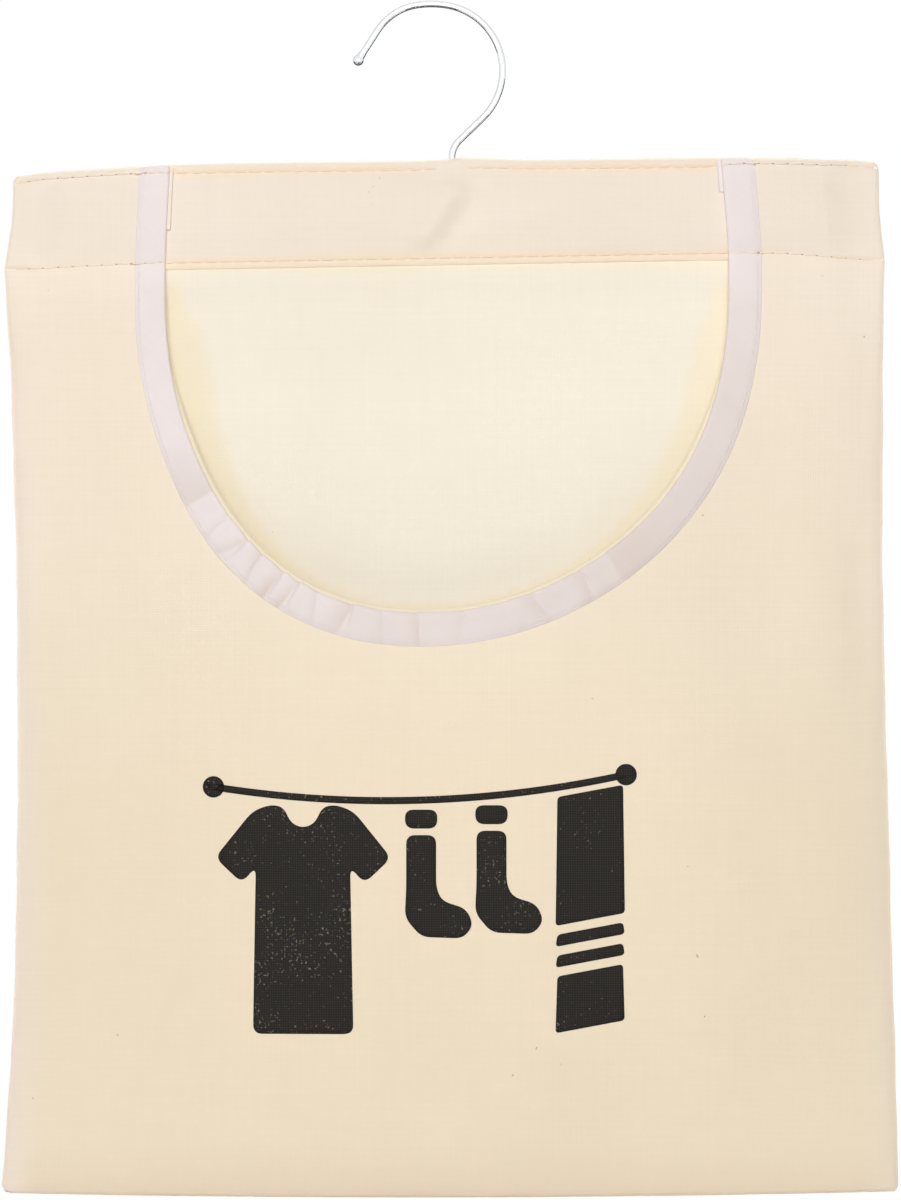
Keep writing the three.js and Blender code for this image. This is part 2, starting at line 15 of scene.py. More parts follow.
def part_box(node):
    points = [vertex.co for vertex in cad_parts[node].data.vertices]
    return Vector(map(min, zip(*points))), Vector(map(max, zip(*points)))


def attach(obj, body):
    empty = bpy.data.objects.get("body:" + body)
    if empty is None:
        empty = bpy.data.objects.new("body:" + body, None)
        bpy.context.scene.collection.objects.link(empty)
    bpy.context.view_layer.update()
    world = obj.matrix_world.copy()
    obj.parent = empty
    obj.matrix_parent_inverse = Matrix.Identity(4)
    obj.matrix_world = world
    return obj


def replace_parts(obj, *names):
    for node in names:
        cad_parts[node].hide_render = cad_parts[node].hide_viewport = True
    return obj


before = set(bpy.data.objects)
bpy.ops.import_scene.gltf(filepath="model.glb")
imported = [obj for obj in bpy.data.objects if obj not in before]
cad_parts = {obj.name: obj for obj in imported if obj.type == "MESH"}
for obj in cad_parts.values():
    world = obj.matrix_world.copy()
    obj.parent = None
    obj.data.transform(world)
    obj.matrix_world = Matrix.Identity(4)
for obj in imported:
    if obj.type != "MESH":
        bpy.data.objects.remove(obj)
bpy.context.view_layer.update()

bl_info = {
    "name": "Peg bag",
    "version": (1, 0, 0),
    "blender": (4, 5, 0),
    "location": "View3D > Sidebar > Peg bag",
    "description": "Dresses the peg bag's solids in canvas, tape, stitches and chromed wire",
    "category": "Object",
}

MM = 0.001

# Heights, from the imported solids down
BAR_LOW, BAR_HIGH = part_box("hanger_bar")
Z_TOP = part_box("back_panel")[1].z
Z_UPPER_ROW = Z_TOP - 3.2 * MM
Z_BAR_TOP = BAR_HIGH.z
Z_BAR_BOTTOM = BAR_LOW.z
Z_ROW = Z_BAR_BOTTOM - 8.5 * MM
Z_BAND_EDGE = Z_ROW - 2.2 * MM
Z_SPRING = Z_BAND_EDGE - 11.3 * MM
Z_LEFT_WAIST = Z_TOP - 190 * MM
Z_RIGHT_WAIST = Z_TOP - 141 * MM
Z_BOTTOM = Z_TOP - 347.6 * MM

# Bag outline: distances from the swivel axis to the side edges, at the heights where they turn
LEFT_LEVELS = ((Z_TOP, 147.6 * MM), (Z_ROW, 150.3 * MM), (Z_LEFT_WAIST, 146.3 * MM), (Z_BOTTOM, 151.9 * MM))
RIGHT_LEVELS = ((Z_TOP, 143.3 * MM), (Z_ROW, 145.3 * MM), (Z_RIGHT_WAIST, 145 * MM), (Z_BOTTOM, 150.5 * MM))
LEFT_FLARE = 2.8
RIGHT_FLARE = 1.1
HEADER_FLARE = 2.5
CORNER_RADIUS = 2.7 * MM
BOTTOM_SAG = 1.8 * MM
BOTTOM_TILT = 0.0018
EDGE_WAVE = 0.09 * MM
EDGE_WAVE_LENGTHS = (11 * MM, 4.7 * MM)
EDGE_WAVE_SHIFT = 20 * MM
BOTTOM_LEFT = LEFT_LEVELS[-1][1]
BOTTOM_RIGHT = RIGHT_LEVELS[-1][1]
BOTTOM_HALF = (BOTTOM_LEFT + BOTTOM_RIGHT) / 2
BOTTOM_MIDDLE = (BOTTOM_RIGHT - BOTTOM_LEFT) / 2

# How the header hangs: a little askew, with both ends drooping
# Each has a tilt and a rise, then the droops of its left end and of its right end, with the reach of each
TOP_HANG = (
    0.0105, -0.75 * MM,
    ((2.4 * MM, 40 * MM), (1.4 * MM, 7 * MM)),
    ((1.3 * MM, 28 * MM), (0.8 * MM, 5 * MM)),
)
ROW_HANG = (0.0175, 0.6 * MM, ((1.4 * MM, 32 * MM),), ((3.3 * MM, 26 * MM),))
SHANK_RISE = 0.8 * MM
SHANK_RISE_X = 6 * MM
SHANK_RISE_REACH = 14 * MM
TILT_FADE = 70 * MM

# Depths of the cloth's middle surfaces
SLEEVE_HALF = 3.7 * MM
STITCHED_HALF = 0.9 * MM
EDGE_HALF = 0.55 * MM
RIDGE = 0.35 * MM
FLAT_BACK = 3.7 * MM
BACK_RETURN = 45 * MM
ROW_FORWARD = 1.7 * MM
END_FORWARD = 2.6 * MM
END_CLOSING = 18 * MM
SEAM_STACK = 1.45 * MM
ROW_STACK = 1.8 * MM
SHOULDER_STACK = 1.3 * MM
SHOULDER_EASE = 30 * MM
SHANK_HALF = 1.95 * MM
COLLAR_HALF = 3.3 * MM
COLLAR_HEIGHT = 2.2 * MM
SHANK_SPREAD = 6.5 * MM
SHANK_EASE = 26 * MM
COLLAR_EASE = 3 * MM
COLLAR_SUNK = 2 * MM

# Pocket
BELLY_DROP = 188.5 * MM
BELLY_SIDE_POWER = 2.4
BELLY_BASE_POWER = 2.6

# Where the back panel is pulled forward under the band, and where the mouth's lower edge leans out
TUCK_DEPTH = 1.4 * MM
TUCK_START = (-0.2 * MM, 0.7 * MM)
TUCK_END = (0.7 * MM, 14 * MM)
TUCK_SIDES = (-8 * MM, -1 * MM)
LIP_DEPTH = 1.9 * MM
LIP_REACH = 10 * MM
LIP_LEVELS = (0.3, 0.9)

# Where seams and stitches hold the cloth flat: in from the sides, down from the row, and inside the header
HELD_SIDE = 40 * MM
HELD_TOP = 60 * MM
HELD_OVER_ROW = 7 * MM
HELD_UNDER_TOP = 6 * MM

# Swell of each layer in mm, and the length of its waves
BACK_SWELL, BACK_WAVE = 0.8, 130 * MM
FRONT_SWELL, FRONT_WAVE = 0.9, 105 * MM
FRONT_WAVE_SHIFT = 30 * MM
HEADER_SWELL, HEADER_WAVE = 0.28, 62 * MM
SHOULDER_FOLD_SHARE = 0.6

# Folds, in mm: height, outwards where positive, then start and end along X and Z, and width
HEADER_FOLDS = (
    (1.9, (3, -55), (-12, -81), 4.5),
    (-1.0, (12, -58), (-2, -80), 4.5),
    (0.5, (-62, -70), (-28, -70.5), 4.5),
    (0.5, (18, -69), (90, -67), 4.5),
)
FRONT_FOLDS = (
    (-0.9, (139, -100), (140, -142), 7),
    (-0.9, (138, -170), (139, -234), 7),
    (-0.8, (-135, -163), (-133, -200), 9),
    (0.6, (-118, -118), (-100, -205), 11),
)

# Fullness over the seam allowances: how far in it starts, how far it reaches, how deep it is, and how far
# below the row it comes in
BULGE_EXTENT = 5 * MM
BULGE_REACH = 50 * MM
BULGE_DEPTH = 1.3 * MM
BULGE_FADE = 30 * MM

# Rolled edges: how far in each roll starts and how deep it goes
SIDE_ROLL = (0.9 * MM, 0.9 * MM)
TOP_ROLL = (1.6 * MM, 2.1 * MM)
BAND_ROLL = (0.9 * MM, 0.8 * MM)
BACK_ROLL = (0.7 * MM, 0.55 * MM)
BAND_TURN = 1.3 * MM

# Grids of the cloth: the least step between rows, how far below the band's edge the back panel's close rows
# go, how far from its outer edge the front panel's rows close up, their distances from that edge in mm and
# their angles on its roll, and the distances in mm of the tape's close rows from its own outer edge
LEAST_STEP = 0.2 * MM
TUCKED_ROWS = 1.2 * MM
CLOSE_ROWS = 8 * MM
EDGE_ROWS = (6.5, 5, 3.8, 2.7, 1.8, 1.2)
ROLL_ANGLES = (75, 55, 35, 15, 0)
TAPE_EDGE_ROWS = (0, 0.3, 0.7, 1.2, 1.8)

# Mouth
MOUTH_LEFT = 97.2 * MM
MOUTH_RIGHT = 93.8 * MM
MOUTH_ROUND = 106.2 * MM
MOUTH_POWER = 2.09
MOUTH_SKEW = 8.6 * MM
LEFT_STRAP_LEAN = 1.5 * MM
RIGHT_STRAP_LEAN = 2.6 * MM
CORNER_ANGLE = math.pi / 3
CORNER_STEP = 0.006
MOUTH_HALF = (MOUTH_LEFT + MOUTH_RIGHT) / 2
MOUTH_MIDDLE = (MOUTH_RIGHT - MOUTH_LEFT) / 2

# Stitched rows: the groove that the thread pulls, and the dimple at each needle hole
GROOVE_DEPTH = 0.18 * MM
GROOVE_WIDTH = 0.9 * MM
HOLE_DEPTH = 0.36 * MM
HOLE_WIDTH = 0.55 * MM
SHANK_FREE = 9 * MM
LEFT_ROW_RISE = 0.6 * MM
RIGHT_ROW_RISE = 1.1 * MM
ROW_RISE_INSIDE = 12 * MM
ROW_RISE_OUTSIDE = 6 * MM
END_CREASE_DEPTH = 0.55 * MM
END_CREASE_WIDTH = 0.7 * GROOVE_WIDTH
LEFT_CREASE = 12 * MM
RIGHT_CREASE = 20 * MM

# Creases across the tape where it turns the tight part of the mouth: place along X in mm, share of the puff,
# depth of shade, and the reach of that shade in mm, before the crease or, where negative, after it
TAPE_CREASES = (
    (-81, 0.4, 0.45, 26), (-75.5, 0.6, 0.3, 4), (-69, 0.8, 0.45, 4), (-64, 0.8, 0.55, 4),
    (-57, 1.0, 0.85, 5), (-51.5, 1.0, 0.75, 4), (-45, 0.5, 0.35, 4), (-33.4, 0.85, 0.5, 8),
    (-23, 0.5, 0.2, 5), (-11.8, 0.8, 0.4, 6), (4, 0.4, 0.15, 6), (27, 0.6, 0.3, 7),
    (43.5, 0.8, 0.4, 5), (52, 0.6, 0.3, -30),
)

# A crease's slope before it and step after it, its slant across the tape, and how far below the straps the
# creases start; then the puff of plain tape, what creases add to it, how far that reaches, and its waves
CREASE_SLOPE = 3.0 * MM
CREASE_STEP = 0.55 * MM
CREASE_SLANT = 0.3
CREASE_DROP = 20 * MM
TAPE_PUFF = 0.3 * MM
CREASED_PUFF = 1.1 * MM
CREASED_REACH = 14 * MM
PUFF_WAVES = (5.1 * MM, 17 * MM)

# Shade round the bottom of the tape and up its right: how dark, between which shares of the mouth's depth it
# comes in, and between which places along X
TAPE_SHADES = (
    (0.2, (0.3, 0.95), (-60 * MM, -15 * MM)),
    (0.28, (-0.1, 0.3), (25 * MM, 80 * MM)),
)

# Tape: the share of its width that is lost down the left, where along X that starts and ends, how far its
# outer edge is pressed into the canvas and over what strip, its gap to the canvas, and its yarn spacing
LEFT_TAPE_LOSS = 0.1
TAPE_LOSS_START, TAPE_LOSS_END = -70 * MM, -90 * MM
TAPE_PRESSED = 0.44 * MM
TAPE_PRESSED_STRIP = 2.4 * MM
TAPE_GAP = 0.06 * MM
TAPE_WEAVE = 0.6 * MM

# Facing inside the mouth: how far it shows past the tape, lies behind and reaches under, the drop over which
# it comes out, the room that it keeps from the cloth on either side, and its thickness
FACING_SHOWN = 2.5 * MM
FACING_BEHIND = 0.6 * MM
FACING_UNDER = 7 * MM
FACING_EASE = 50 * MM
FACING_LAYER = 0.9 * MM
FACING_THICKNESS = 0.4 * MM

# How far below the band's edge the facing starts, and between which heights over that edge it goes behind
FACING_START = 1.5 * MM
FACING_GOES_BEHIND = (1 * MM, -20 * MM)

# Painted light and shade on the back panel beside the mouth's edge: its reach round the bottom, how much
# wider it is at the sides, how far below the straps it gets to that width, its share of that at the straps,
# and where it fades in reaches; then the share of the painted shadow below the band and where that fades
PAINTED_TINT_REACH = 4 * MM
PAINTED_TINT_SPREAD = 12 * MM
PAINTED_TINT_RISE = 22 * MM
PAINTED_TINT_LEAST = 0.5
PAINTED_TINT_FADE = (1.3, 0.6)
BAND_PAINTED_SHADOW = 0.8
BAND_PAINTED_SHADOW_FADE = (1.0, 0.2)

# Tones: reach of the warm painted shade at the band's rows and of the paler cloth at the front panel's sides
ROW_SHADE_REACH = 1.5 * MM
EDGE_TONE = 14 * MM
EDGE_TONE_RIGHT = 0.35
EDGE_TONE_EASE = 40 * MM

# Turned-under tape ends that show beside the straps: reach past the strap, and their lower ends; then the
# share of that reach that lies under the strap, their drop from the top, and their height over the band
LEFT_TAPE_END = (2.2 * MM, -73.0 * MM)
RIGHT_TAPE_END = (2.4 * MM, -62.4 * MM)
TAPE_END_UNDER = 0.6
TAPE_END_DROP = 1.2 * MM
TAPE_END_LIFT = 0.72 * MM
TAPE_END_THICKNESS = 0.5 * MM
TAPE_END_ROLL = (0.5 * MM, 0.25 * MM)

# Looks: how far below and above the row the header's painted shade comes in, how far down the lower tone
# comes in, yellower outside and painted light inside, the painted shade along the bottom, and the twist of
# the thread, drawn wide so that it shows
HEADER_SHADE_BELOW_ROW, HEADER_SHADE_ABOVE_ROW = 2 * MM, 8 * MM
LOWER_TINT_REACH = 190 * MM
SHADED_BOTTOM_STRIP = 17 * MM
TWIST_PITCH = 0.5 * MM

# Band: how far it ends inside the side edges, how far it is lowered under the straps, and its lower hem
BAND_END = 20 * MM
BAND_LOWERED = 4 * MM
HEM_RADIUS = 0.45 * MM
HEM_OVER_ROW = 4 * MM

# Stitches: margin at a row's ends, where the shoulders start, gap at a hole, rise as a share of the thread,
# the turns of thread in the needle holes, the fine thread along the tape, how far below the row it starts,
# how far it sinks in, and how far a strap lifts a row, from just before its edge to just past it
ROW_MARGIN = 2.5 * MM
LEFT_SHOULDER = -MOUTH_LEFT + 2 * MM
RIGHT_SHOULDER = MOUTH_RIGHT - 3 * MM
STITCH_GAP = 0.2 * MM
STITCH_RISE = 0.6
HOLE_HALF = 0.42 * MM
HOLE_THREAD, HOLE_RISE = 0.24 * MM, 0.12 * MM
TAPE_ROW = 1.4 * MM
TAPE_STITCH_GAP = 0.25 * MM
TAPE_THREAD, TAPE_THREAD_RISE = 0.12 * MM, 0.06 * MM
TAPE_ROW_START, TAPE_ROW_SUNK = 2 * MM, 0.02 * MM
STRAP_LIFT = 0.25 * MM
STRAP_BEFORE, STRAP_PAST = 0.5 * MM, 0.3 * MM

# Seam allowances inside the bag, their room behind and in front, and the overlock thread round them
SEAM_WIDTH = 8 * MM
SEAM_INSET = 3.5 * MM
SEAM_THICKNESS = 1.2 * MM
SEAM_LEAST = 0.25 * MM
SEAM_BEHIND = 0.1 * MM
SEAM_ROOM = 0.15 * MM
SEAM_TOP = Z_BAND_EDGE - 28 * MM
SEAM_LOW = Z_BOTTOM + SEAM_INSET + SEAM_WIDTH + 0.3 * MM
SEAM_END = 26 * MM
OVERLOCK_THREAD, OVERLOCK_LIFT = 0.18 * MM, 0.12 * MM

# Hook: bent from one wire, with its shank's end rounded off and a ball at the tip
BOW_RADIUS = 22.3 * MM
BOW_OFFSET = 5.3 * MM
BOW_END = math.radians(81)
CREST_RADIUS = 32.9 * MM
CREST_END = math.radians(98)
TIP_RADIUS = 19.2 * MM
TIP_END = math.radians(147)
TIP_LENGTH = 12 * MM
NECK = math.radians(44)
NECK_BEND = 8 * MM
BALL_RADIUS = 1.8 * MM
BALL_START = -0.72
BALL_LEAST = 0.02 * MM
STRAIGHT_SHARE = 0.72
Z_SHANK_END = Z_BAR_BOTTOM + 5.3 * MM
SHANK_END_SHARES = (0.8, 0.95, 1.0)

# Print: a generic washing line, centred on the pocket, drawn in mm
PRINT_CENTRE = (-10.8 * MM, -303.4 * MM)
PRINT_DRAWN_WIDTH = 144.0
LINE_HEIGHT, LINE_TILT, LINE_SAG = 45, 0.03, 7
LINE_HALF = 72
LINE_THICKNESS = 2.4
KNOT_RADIUS, KNOT_PLACE = 3.6, 69.0
HUNG_BELOW = 3.2
PRINT_SPACING = 2.6
INK_LIFT, INK_THICKNESS = 0.07 * MM, 0.06 * MM

# Camera: the photograph's frame at the bag's own plane
FRAME_HEIGHT = 0.40356
FRAME_CENTRE = (-0.5 * MM, -198.5 * MM)
CAMERA_DISTANCE = 2.5
SENSOR = 36.0

# Lights: place, aim, size in metres and power in watts; the rims reach only the turned edges
SOFTBOXES = {
    "Key softbox": ((-0.07, -1.1, 0.3), (0, 0, -0.1), 0.9, 12.35),
    "Back softbox": ((0.2, 1.3, 0.4), (0, 0, -0.22), 1.2, 14.0),
}
RIM_SOFTBOXES = {
    "Left rim softbox": ((-1.1, 0.5, -0.18), (0, 0, -0.18), 0.5, 0.75),
    "Right rim softbox": ((1.1, 0.5, -0.18), (0, 0, -0.18), 0.5, 0.75),
    "Top rim softbox": ((0, 0.5, 0.95), (0, 0, -0.18), 0.5, 0.75),
}
RIM_SPREAD = math.radians(40)
AMBIENT = 0.17

# Cards that only shiny metal sees, which line the wire with dark and grey: size, place, aim and colour
CARDS = {
    "grey card below": (0.5, (0.05, 0.245, -0.06), (0.05, 0.245, 1), "3C3F44"),
    "dark card in front": (0.08, (-0.006, -0.05, -0.12), (-0.006, -0.05, 1), "101214"),
    "dark card at the right": (0.26, (0.3, 0.18, -0.165), (0, 0, -0.165), "202226"),
    "grey card": (1.3, (0, 0.6, 0.0), (0, 0, 0), "B4B7BB"),
}
FLOOR_SIZE = 1.6
FLOOR_HEIGHT = -0.62


# Small maths

def ease(value, low, high):
    """0 at low, 1 at high, with a soft start and end."""
    t = np.clip((value - low) / (high - low), 0, 1)
    return t * t * (3 - 2 * t)


def soft_line(value, low, high):
    """Nearly straight from 0 at low to 1 at high."""
    t = np.clip((value - low) / (high - low), 0, 1)
    return 0.75 * t + 0.25 * t * t * (3 - 2 * t)


def near(distance, reach):
    """1 at no distance, fading to 0 over about that reach."""
    return np.exp(-((distance / reach) ** 2))


def rolled(distance, roll):
    """How far a rolled edge turns back, at a distance from that edge."""
    extent, depth = roll
    left = np.clip(1 - distance / extent, 0, 1)
    return depth * (1 - np.sqrt(1 - left ** 2))


def unevenness(x, z, length):
    """Soft swell of hanging cloth, from -1 to 1, with waves of about that length."""
    k = 2 * math.pi / length
    return (
        np.sin(k * (0.9 * x + 0.35 * z) + 0.7)
        + np.sin(k * 1.31 * (-0.45 * x + 0.8 * z) + 2.1)
        + np.sin(k * 0.77 * (0.3 * x - 1.05 * z) + 4.0)
        + np.sin(k * 1.63 * (1.1 * x + 0.1 * z) + 5.2)
    ) / 4


def folded(x, z, folds):
    """Height in mm of a table of folds: each is most on its line and fades beside it and at its ends."""
    total = 0
    for height, start, end, width in folds:
        ax, az, bx, bz = (c * MM for c in (*start, *end))
        ux, uz = bx - ax, bz - az
        t = np.clip(((x - ax) * ux + (z - az) * uz) / (ux ** 2 + uz ** 2), 0, 1)
        away = np.hypot(x - ax - t * ux, z - az - t * uz)
        total = total + height * near(away, width * MM) * (1 - 0.85 * (2 * t - 1) ** 4)
    return total


def corner_inset(distance):
    """How far a rounded corner takes a side edge in, at a distance from the corner's end."""
    left = np.clip(CORNER_RADIUS - distance, 0, CORNER_RADIUS)
    return CORNER_RADIUS - np.sqrt(CORNER_RADIUS ** 2 - left ** 2)


def edge_wave(z):
    """Small waver of the sewn side edges."""
    long, short = EDGE_WAVE_LENGTHS
    return EDGE_WAVE * (np.sin(z / long) + np.sin(z / short + 2.0))


def side_edge(z, levels, flare):
    """Distance out to a side: a hollow curve between the header's row and the bottom."""
    (z_top, top), (z_row, at_row), (z_waist, waist), (z_bottom, bottom) = levels
    header = top + (at_row - top) * np.clip((z_top - z) / (z_top - z_row), 0, 1) ** HEADER_FLARE
    above = np.clip((z - z_waist) / (z_row - z_waist), 0, 1)
    below = np.clip((z_waist - z) / (z_waist - z_bottom), 0, 1)
    body = waist + (at_row - waist) * above ** 2 + (bottom - waist) * below ** flare
    inset = corner_inset(Z_TOP - z) + corner_inset(z - Z_BOTTOM)
    return np.where(z > z_row, header, body) - inset


def left_edge(z):
    return -side_edge(z, LEFT_LEVELS, LEFT_FLARE) + edge_wave(z)


def right_edge(z):
    return side_edge(z, RIGHT_LEVELS, RIGHT_FLARE) + edge_wave(z + EDGE_WAVE_SHIFT)


# The side edges by their side of the swivel axis
EDGES = {-1: left_edge, 1: right_edge}


def bottom_edge(x):
    tilted = Z_BOTTOM + BOTTOM_TILT * (x - BOTTOM_HALF)
    return tilted - BOTTOM_SAG * np.maximum(0, 1 - ((x - BOTTOM_MIDDLE) / BOTTOM_HALF) ** 2)


def upper_row(x):
    """Height of the upper row: it runs nearer to the top edge on the shoulders."""
    left = ease(x, -MOUTH_LEFT + ROW_RISE_INSIDE, -MOUTH_LEFT - ROW_RISE_OUTSIDE)
    right = ease(x, MOUTH_RIGHT - ROW_RISE_INSIDE, MOUTH_RIGHT + ROW_RISE_OUTSIDE)
    return Z_UPPER_ROW + LEFT_ROW_RISE * left + RIGHT_ROW_RISE * right


def lower_row(x):
    return np.full_like(x, Z_ROW)


def strap_inner(z, side):
    """The mouth's edge along a strap."""
    share = np.clip((z - Z_ROW) / (Z_TOP - Z_ROW), 0, 1)
    if side < 0:
        return -MOUTH_LEFT + LEFT_STRAP_LEAN * share
    return MOUTH_RIGHT - RIGHT_STRAP_LEAN * share


def mouth_point(angle):
    """The round of the mouth, from the left strap (0) to the right strap (pi)."""
    depth = np.abs(np.sin(angle)) ** (2 / MOUTH_POWER)
    reach = np.sign(np.cos(angle)) * np.abs(np.cos(angle)) ** (2 / MOUTH_POWER)
    x = MOUTH_MIDDLE - MOUTH_HALF * reach - MOUTH_SKEW * depth ** 3
    return np.stack([x, Z_SPRING - MOUTH_ROUND * depth], -1)


def mouth_normal(angle):
    """The way out of the mouth, into the front panel."""
    step = 0.01
    along = mouth_point(angle + step) - mouth_point(angle - step)
    along /= np.linalg.norm(along, axis=-1, keepdims=True)
    return np.stack([along[..., 1], -along[..., 0]], -1)


def tape_share(inner):
    """Share of the tape's full width that shows at places along the mouth: less down the left."""
    return 1 - LEFT_TAPE_LOSS * ease(inner[:, :1], TAPE_LOSS_START, TAPE_LOSS_END)


def run_along(path):
    """Length along a path, at each of its points."""
    return np.concatenate([[0], np.cumsum(np.linalg.norm(np.diff(path, axis=0), axis=1))])


class BagShape:
    """The bag's cloth, as depths along Y over places on the XZ plane in the level frame."""

    def __init__(self, context):
        self.sizes = context.scene.peg_bag_sizes
        self.half_canvas = self.sizes.canvas_thickness / 2
        self.folds = self.sizes.fold_share

    def side_distance(self, x, z):
        return np.minimum(x - left_edge(z), right_edge(z) - x) - self.half_canvas

    def outer_distance(self, x, z):
        return np.minimum(self.side_distance(x, z), z - bottom_edge(x) - self.half_canvas)

    def top_distance(self, z):
        return Z_TOP - self.half_canvas - z

    def hang(self, x, z, how):
        """How far one level of the hanging header raises or lowers a place."""
        tilt, rise, *droops = how
        height = rise + tilt * x
        for inwards, end_droops in zip((x - left_edge(z), right_edge(z) - x), droops):
            for droop, reach in end_droops:
                height = height - droop * near(inwards, reach)
        return height

    def lift(self, x, z):
        """How far the hanging header raises or lowers a place of the level frame."""
        up = ease(z, Z_ROW, Z_TOP)
        header = self.hang(x, z, ROW_HANG) * (1 - up) + self.hang(x, z, TOP_HANG) * up
        shank = SHANK_RISE * near(x - SHANK_RISE_X, SHANK_RISE_REACH) * ease(z, Z_BAR_TOP, Z_TOP)
        return header * ease(z, Z_ROW - TILT_FADE, Z_ROW) + shank

    def place(self, x, y, z):
        """Places of the level frame where they hang."""
        x, y, z = np.broadcast_arrays(x, y, z)
        return np.stack([x, y, z + self.lift(x, z)], -1)

    def closing(self, x, z):
        """0 at the sewn sides, where the layers meet, and 1 further in."""
        return soft_line(self.side_distance(x, z), 0, END_CLOSING)

    def loose(self, x, z):
        """0 where seams and stitches hold the cloth flat, and 1 further in."""
        return ease(self.outer_distance(x, z), 0, HELD_SIDE) * ease(Z_ROW - z, 0, HELD_TOP)

    def bar_edges(self, x):
        """Heights of the level frame at which the cloth leaves the bar, above and below."""
        top = Z_BAR_TOP - np.minimum(0, self.lift(x, Z_BAR_TOP))
        return top, Z_BAR_BOTTOM - np.maximum(0, self.lift(x, Z_BAR_BOTTOM))

    def sleeve_half(self, x, z):
        """Half the distance between the header's two layers."""
        bar_top, bar_bottom = self.bar_edges(x)
        on_bar = np.minimum(soft_line(z, Z_UPPER_ROW, bar_top), 1 - soft_line(z, bar_bottom, Z_ROW))
        half = STITCHED_HALF + (SLEEVE_HALF - STITCHED_HALF) * on_bar
        in_heading = np.clip((z - Z_UPPER_ROW) / (Z_TOP - Z_UPPER_ROW), 0, 1)
        half = half + RIDGE * np.sin(math.pi * in_heading)
        collar_top = Z_BAR_TOP + COLLAR_HEIGHT
        collar = ease(z, collar_top + COLLAR_EASE, collar_top)
        round_shank = SHANK_HALF + (COLLAR_HALF - SHANK_HALF) * collar
        parted = np.maximum(0, round_shank - half) * near(x, SHANK_SPREAD)
        return half + np.where(z > Z_BAR_TOP - COLLAR_SUNK, parted, 0)

    def forward(self, x, z):
        """How far the header's rows and its ends sit towards the front, which keeps the front layer flat."""
        bar_top, bar_bottom = self.bar_edges(x)
        to_row = soft_line(z, bar_bottom, Z_ROW)
        to_top = soft_line(z, bar_top, Z_UPPER_ROW) * (1 - near(x, SHANK_EASE))
        to_end = 1 - self.closing(x, z)
        return np.maximum(ROW_FORWARD * np.maximum(to_row, to_top), END_FORWARD * to_end)

    def row_groove(self, x, z):
        """How deep the two stitched rows pull the cloth in, with a dimple at each needle hole."""
        pull = np.zeros(np.broadcast(x, z).shape)
        step = self.sizes.stitch_length
        off = (x / step - np.round(x / step)) * step
        ends = ease(x - left_edge(z), LEFT_CREASE, LEFT_CREASE / 2)
        ends = ends + ease(right_edge(z) - x, RIGHT_CREASE, RIGHT_CREASE / 2)
        for row in (upper_row, lower_row):
            over = z - row(x)
            free = ease(np.abs(x), SHANK_FREE / 2, SHANK_FREE) if row == upper_row else 1
            groove = GROOVE_DEPTH * near(over, GROOVE_WIDTH)
            crease = END_CREASE_DEPTH * ends * near(over, END_CREASE_WIDTH)
            hole = HOLE_DEPTH * near(np.hypot(off, over), HOLE_WIDTH)
            pull = pull + free * (groove + crease + hole)
        return pull

    def back_plain(self, x, z):
        """The back panel without its swell, rolls and grooves."""
        open_half = EDGE_HALF + (self.sleeve_half(x, z) - EDGE_HALF) * self.closing(x, z)
        header = open_half - self.forward(x, z)
        return header + (FLAT_BACK - header) * ease(Z_ROW - z, 0, BACK_RETURN)

    def back(self, x, z):
        """Depth of the back panel."""
        swell = BACK_SWELL * MM * self.folds * (1 + unevenness(x, z, BACK_WAVE)) * self.loose(x, z)
        roll = rolled(self.outer_distance(x, z), BACK_ROLL) + rolled(self.top_distance(z), BAND_ROLL)
        return self.back_plain(x, z) - swell - roll - self.row_groove(x, z) - self.tuck(x, z)

    def tuck(self, x, z):
        """How far the back panel is pulled forward just below the band's edge, between the straps."""
        below = Z_BAND_EDGE - z
        between = ease(x + MOUTH_LEFT, *TUCK_SIDES) * ease(MOUTH_RIGHT - x, *TUCK_SIDES)
        return TUCK_DEPTH * between * ease(below, *TUCK_START) * (1 - ease(below, *TUCK_END))

    def band_plain(self, x, z):
        """The band without its folds, rolls and grooves."""
        header = -self.sleeve_half(x, z) - self.forward(x, z)
        return np.where(z >= Z_ROW, header, self.back_plain(x, z) - ROW_STACK)

    def header_folds(self, x, z):
        """Soft folds in the header, outwards from the bar."""
        fold = folded(x, z, HEADER_FOLDS) + HEADER_SWELL * (1 + unevenness(x, z, HEADER_WAVE))
        held = ease(z, Z_ROW, Z_ROW + HELD_OVER_ROW) * ease(z, Z_UPPER_ROW, Z_UPPER_ROW - HELD_UNDER_TOP)
        return fold * MM * self.folds * held

    def band(self, x, z):
        """Depth of the band."""
        depth = self.band_plain(x, z) - self.header_folds(x, z) + self.row_groove(x, z)
        return depth + rolled(self.top_distance(z), BAND_ROLL)

    def belly(self, x, z):
        """How far the pocket stands out, most at the belly's drop below the row."""
        left, right = left_edge(z), right_edge(z)
        across = np.minimum(1, np.abs((2 * x - left - right) / (right - left)))
        drop = Z_ROW - z
        full_drop = Z_ROW - bottom_edge(x)
        above = np.clip(1 - drop / BELLY_DROP, 0, 1)
        below = np.clip((drop - BELLY_DROP) / (full_drop - BELLY_DROP), 0, 1)
        profile = (1 - above ** 2) * (1 - below ** BELLY_BASE_POWER)
        return self.sizes.belly_depth * profile * (1 - across ** BELLY_SIDE_POWER)

    def front_folds(self, x, z):
        """Soft swell and folds of the hanging front panel, outwards."""
        swell = FRONT_SWELL * unevenness(x + FRONT_WAVE_SHIFT, z, FRONT_WAVE) * self.loose(x, z)
        return (swell + folded(x, z, FRONT_FOLDS)) * MM * self.folds

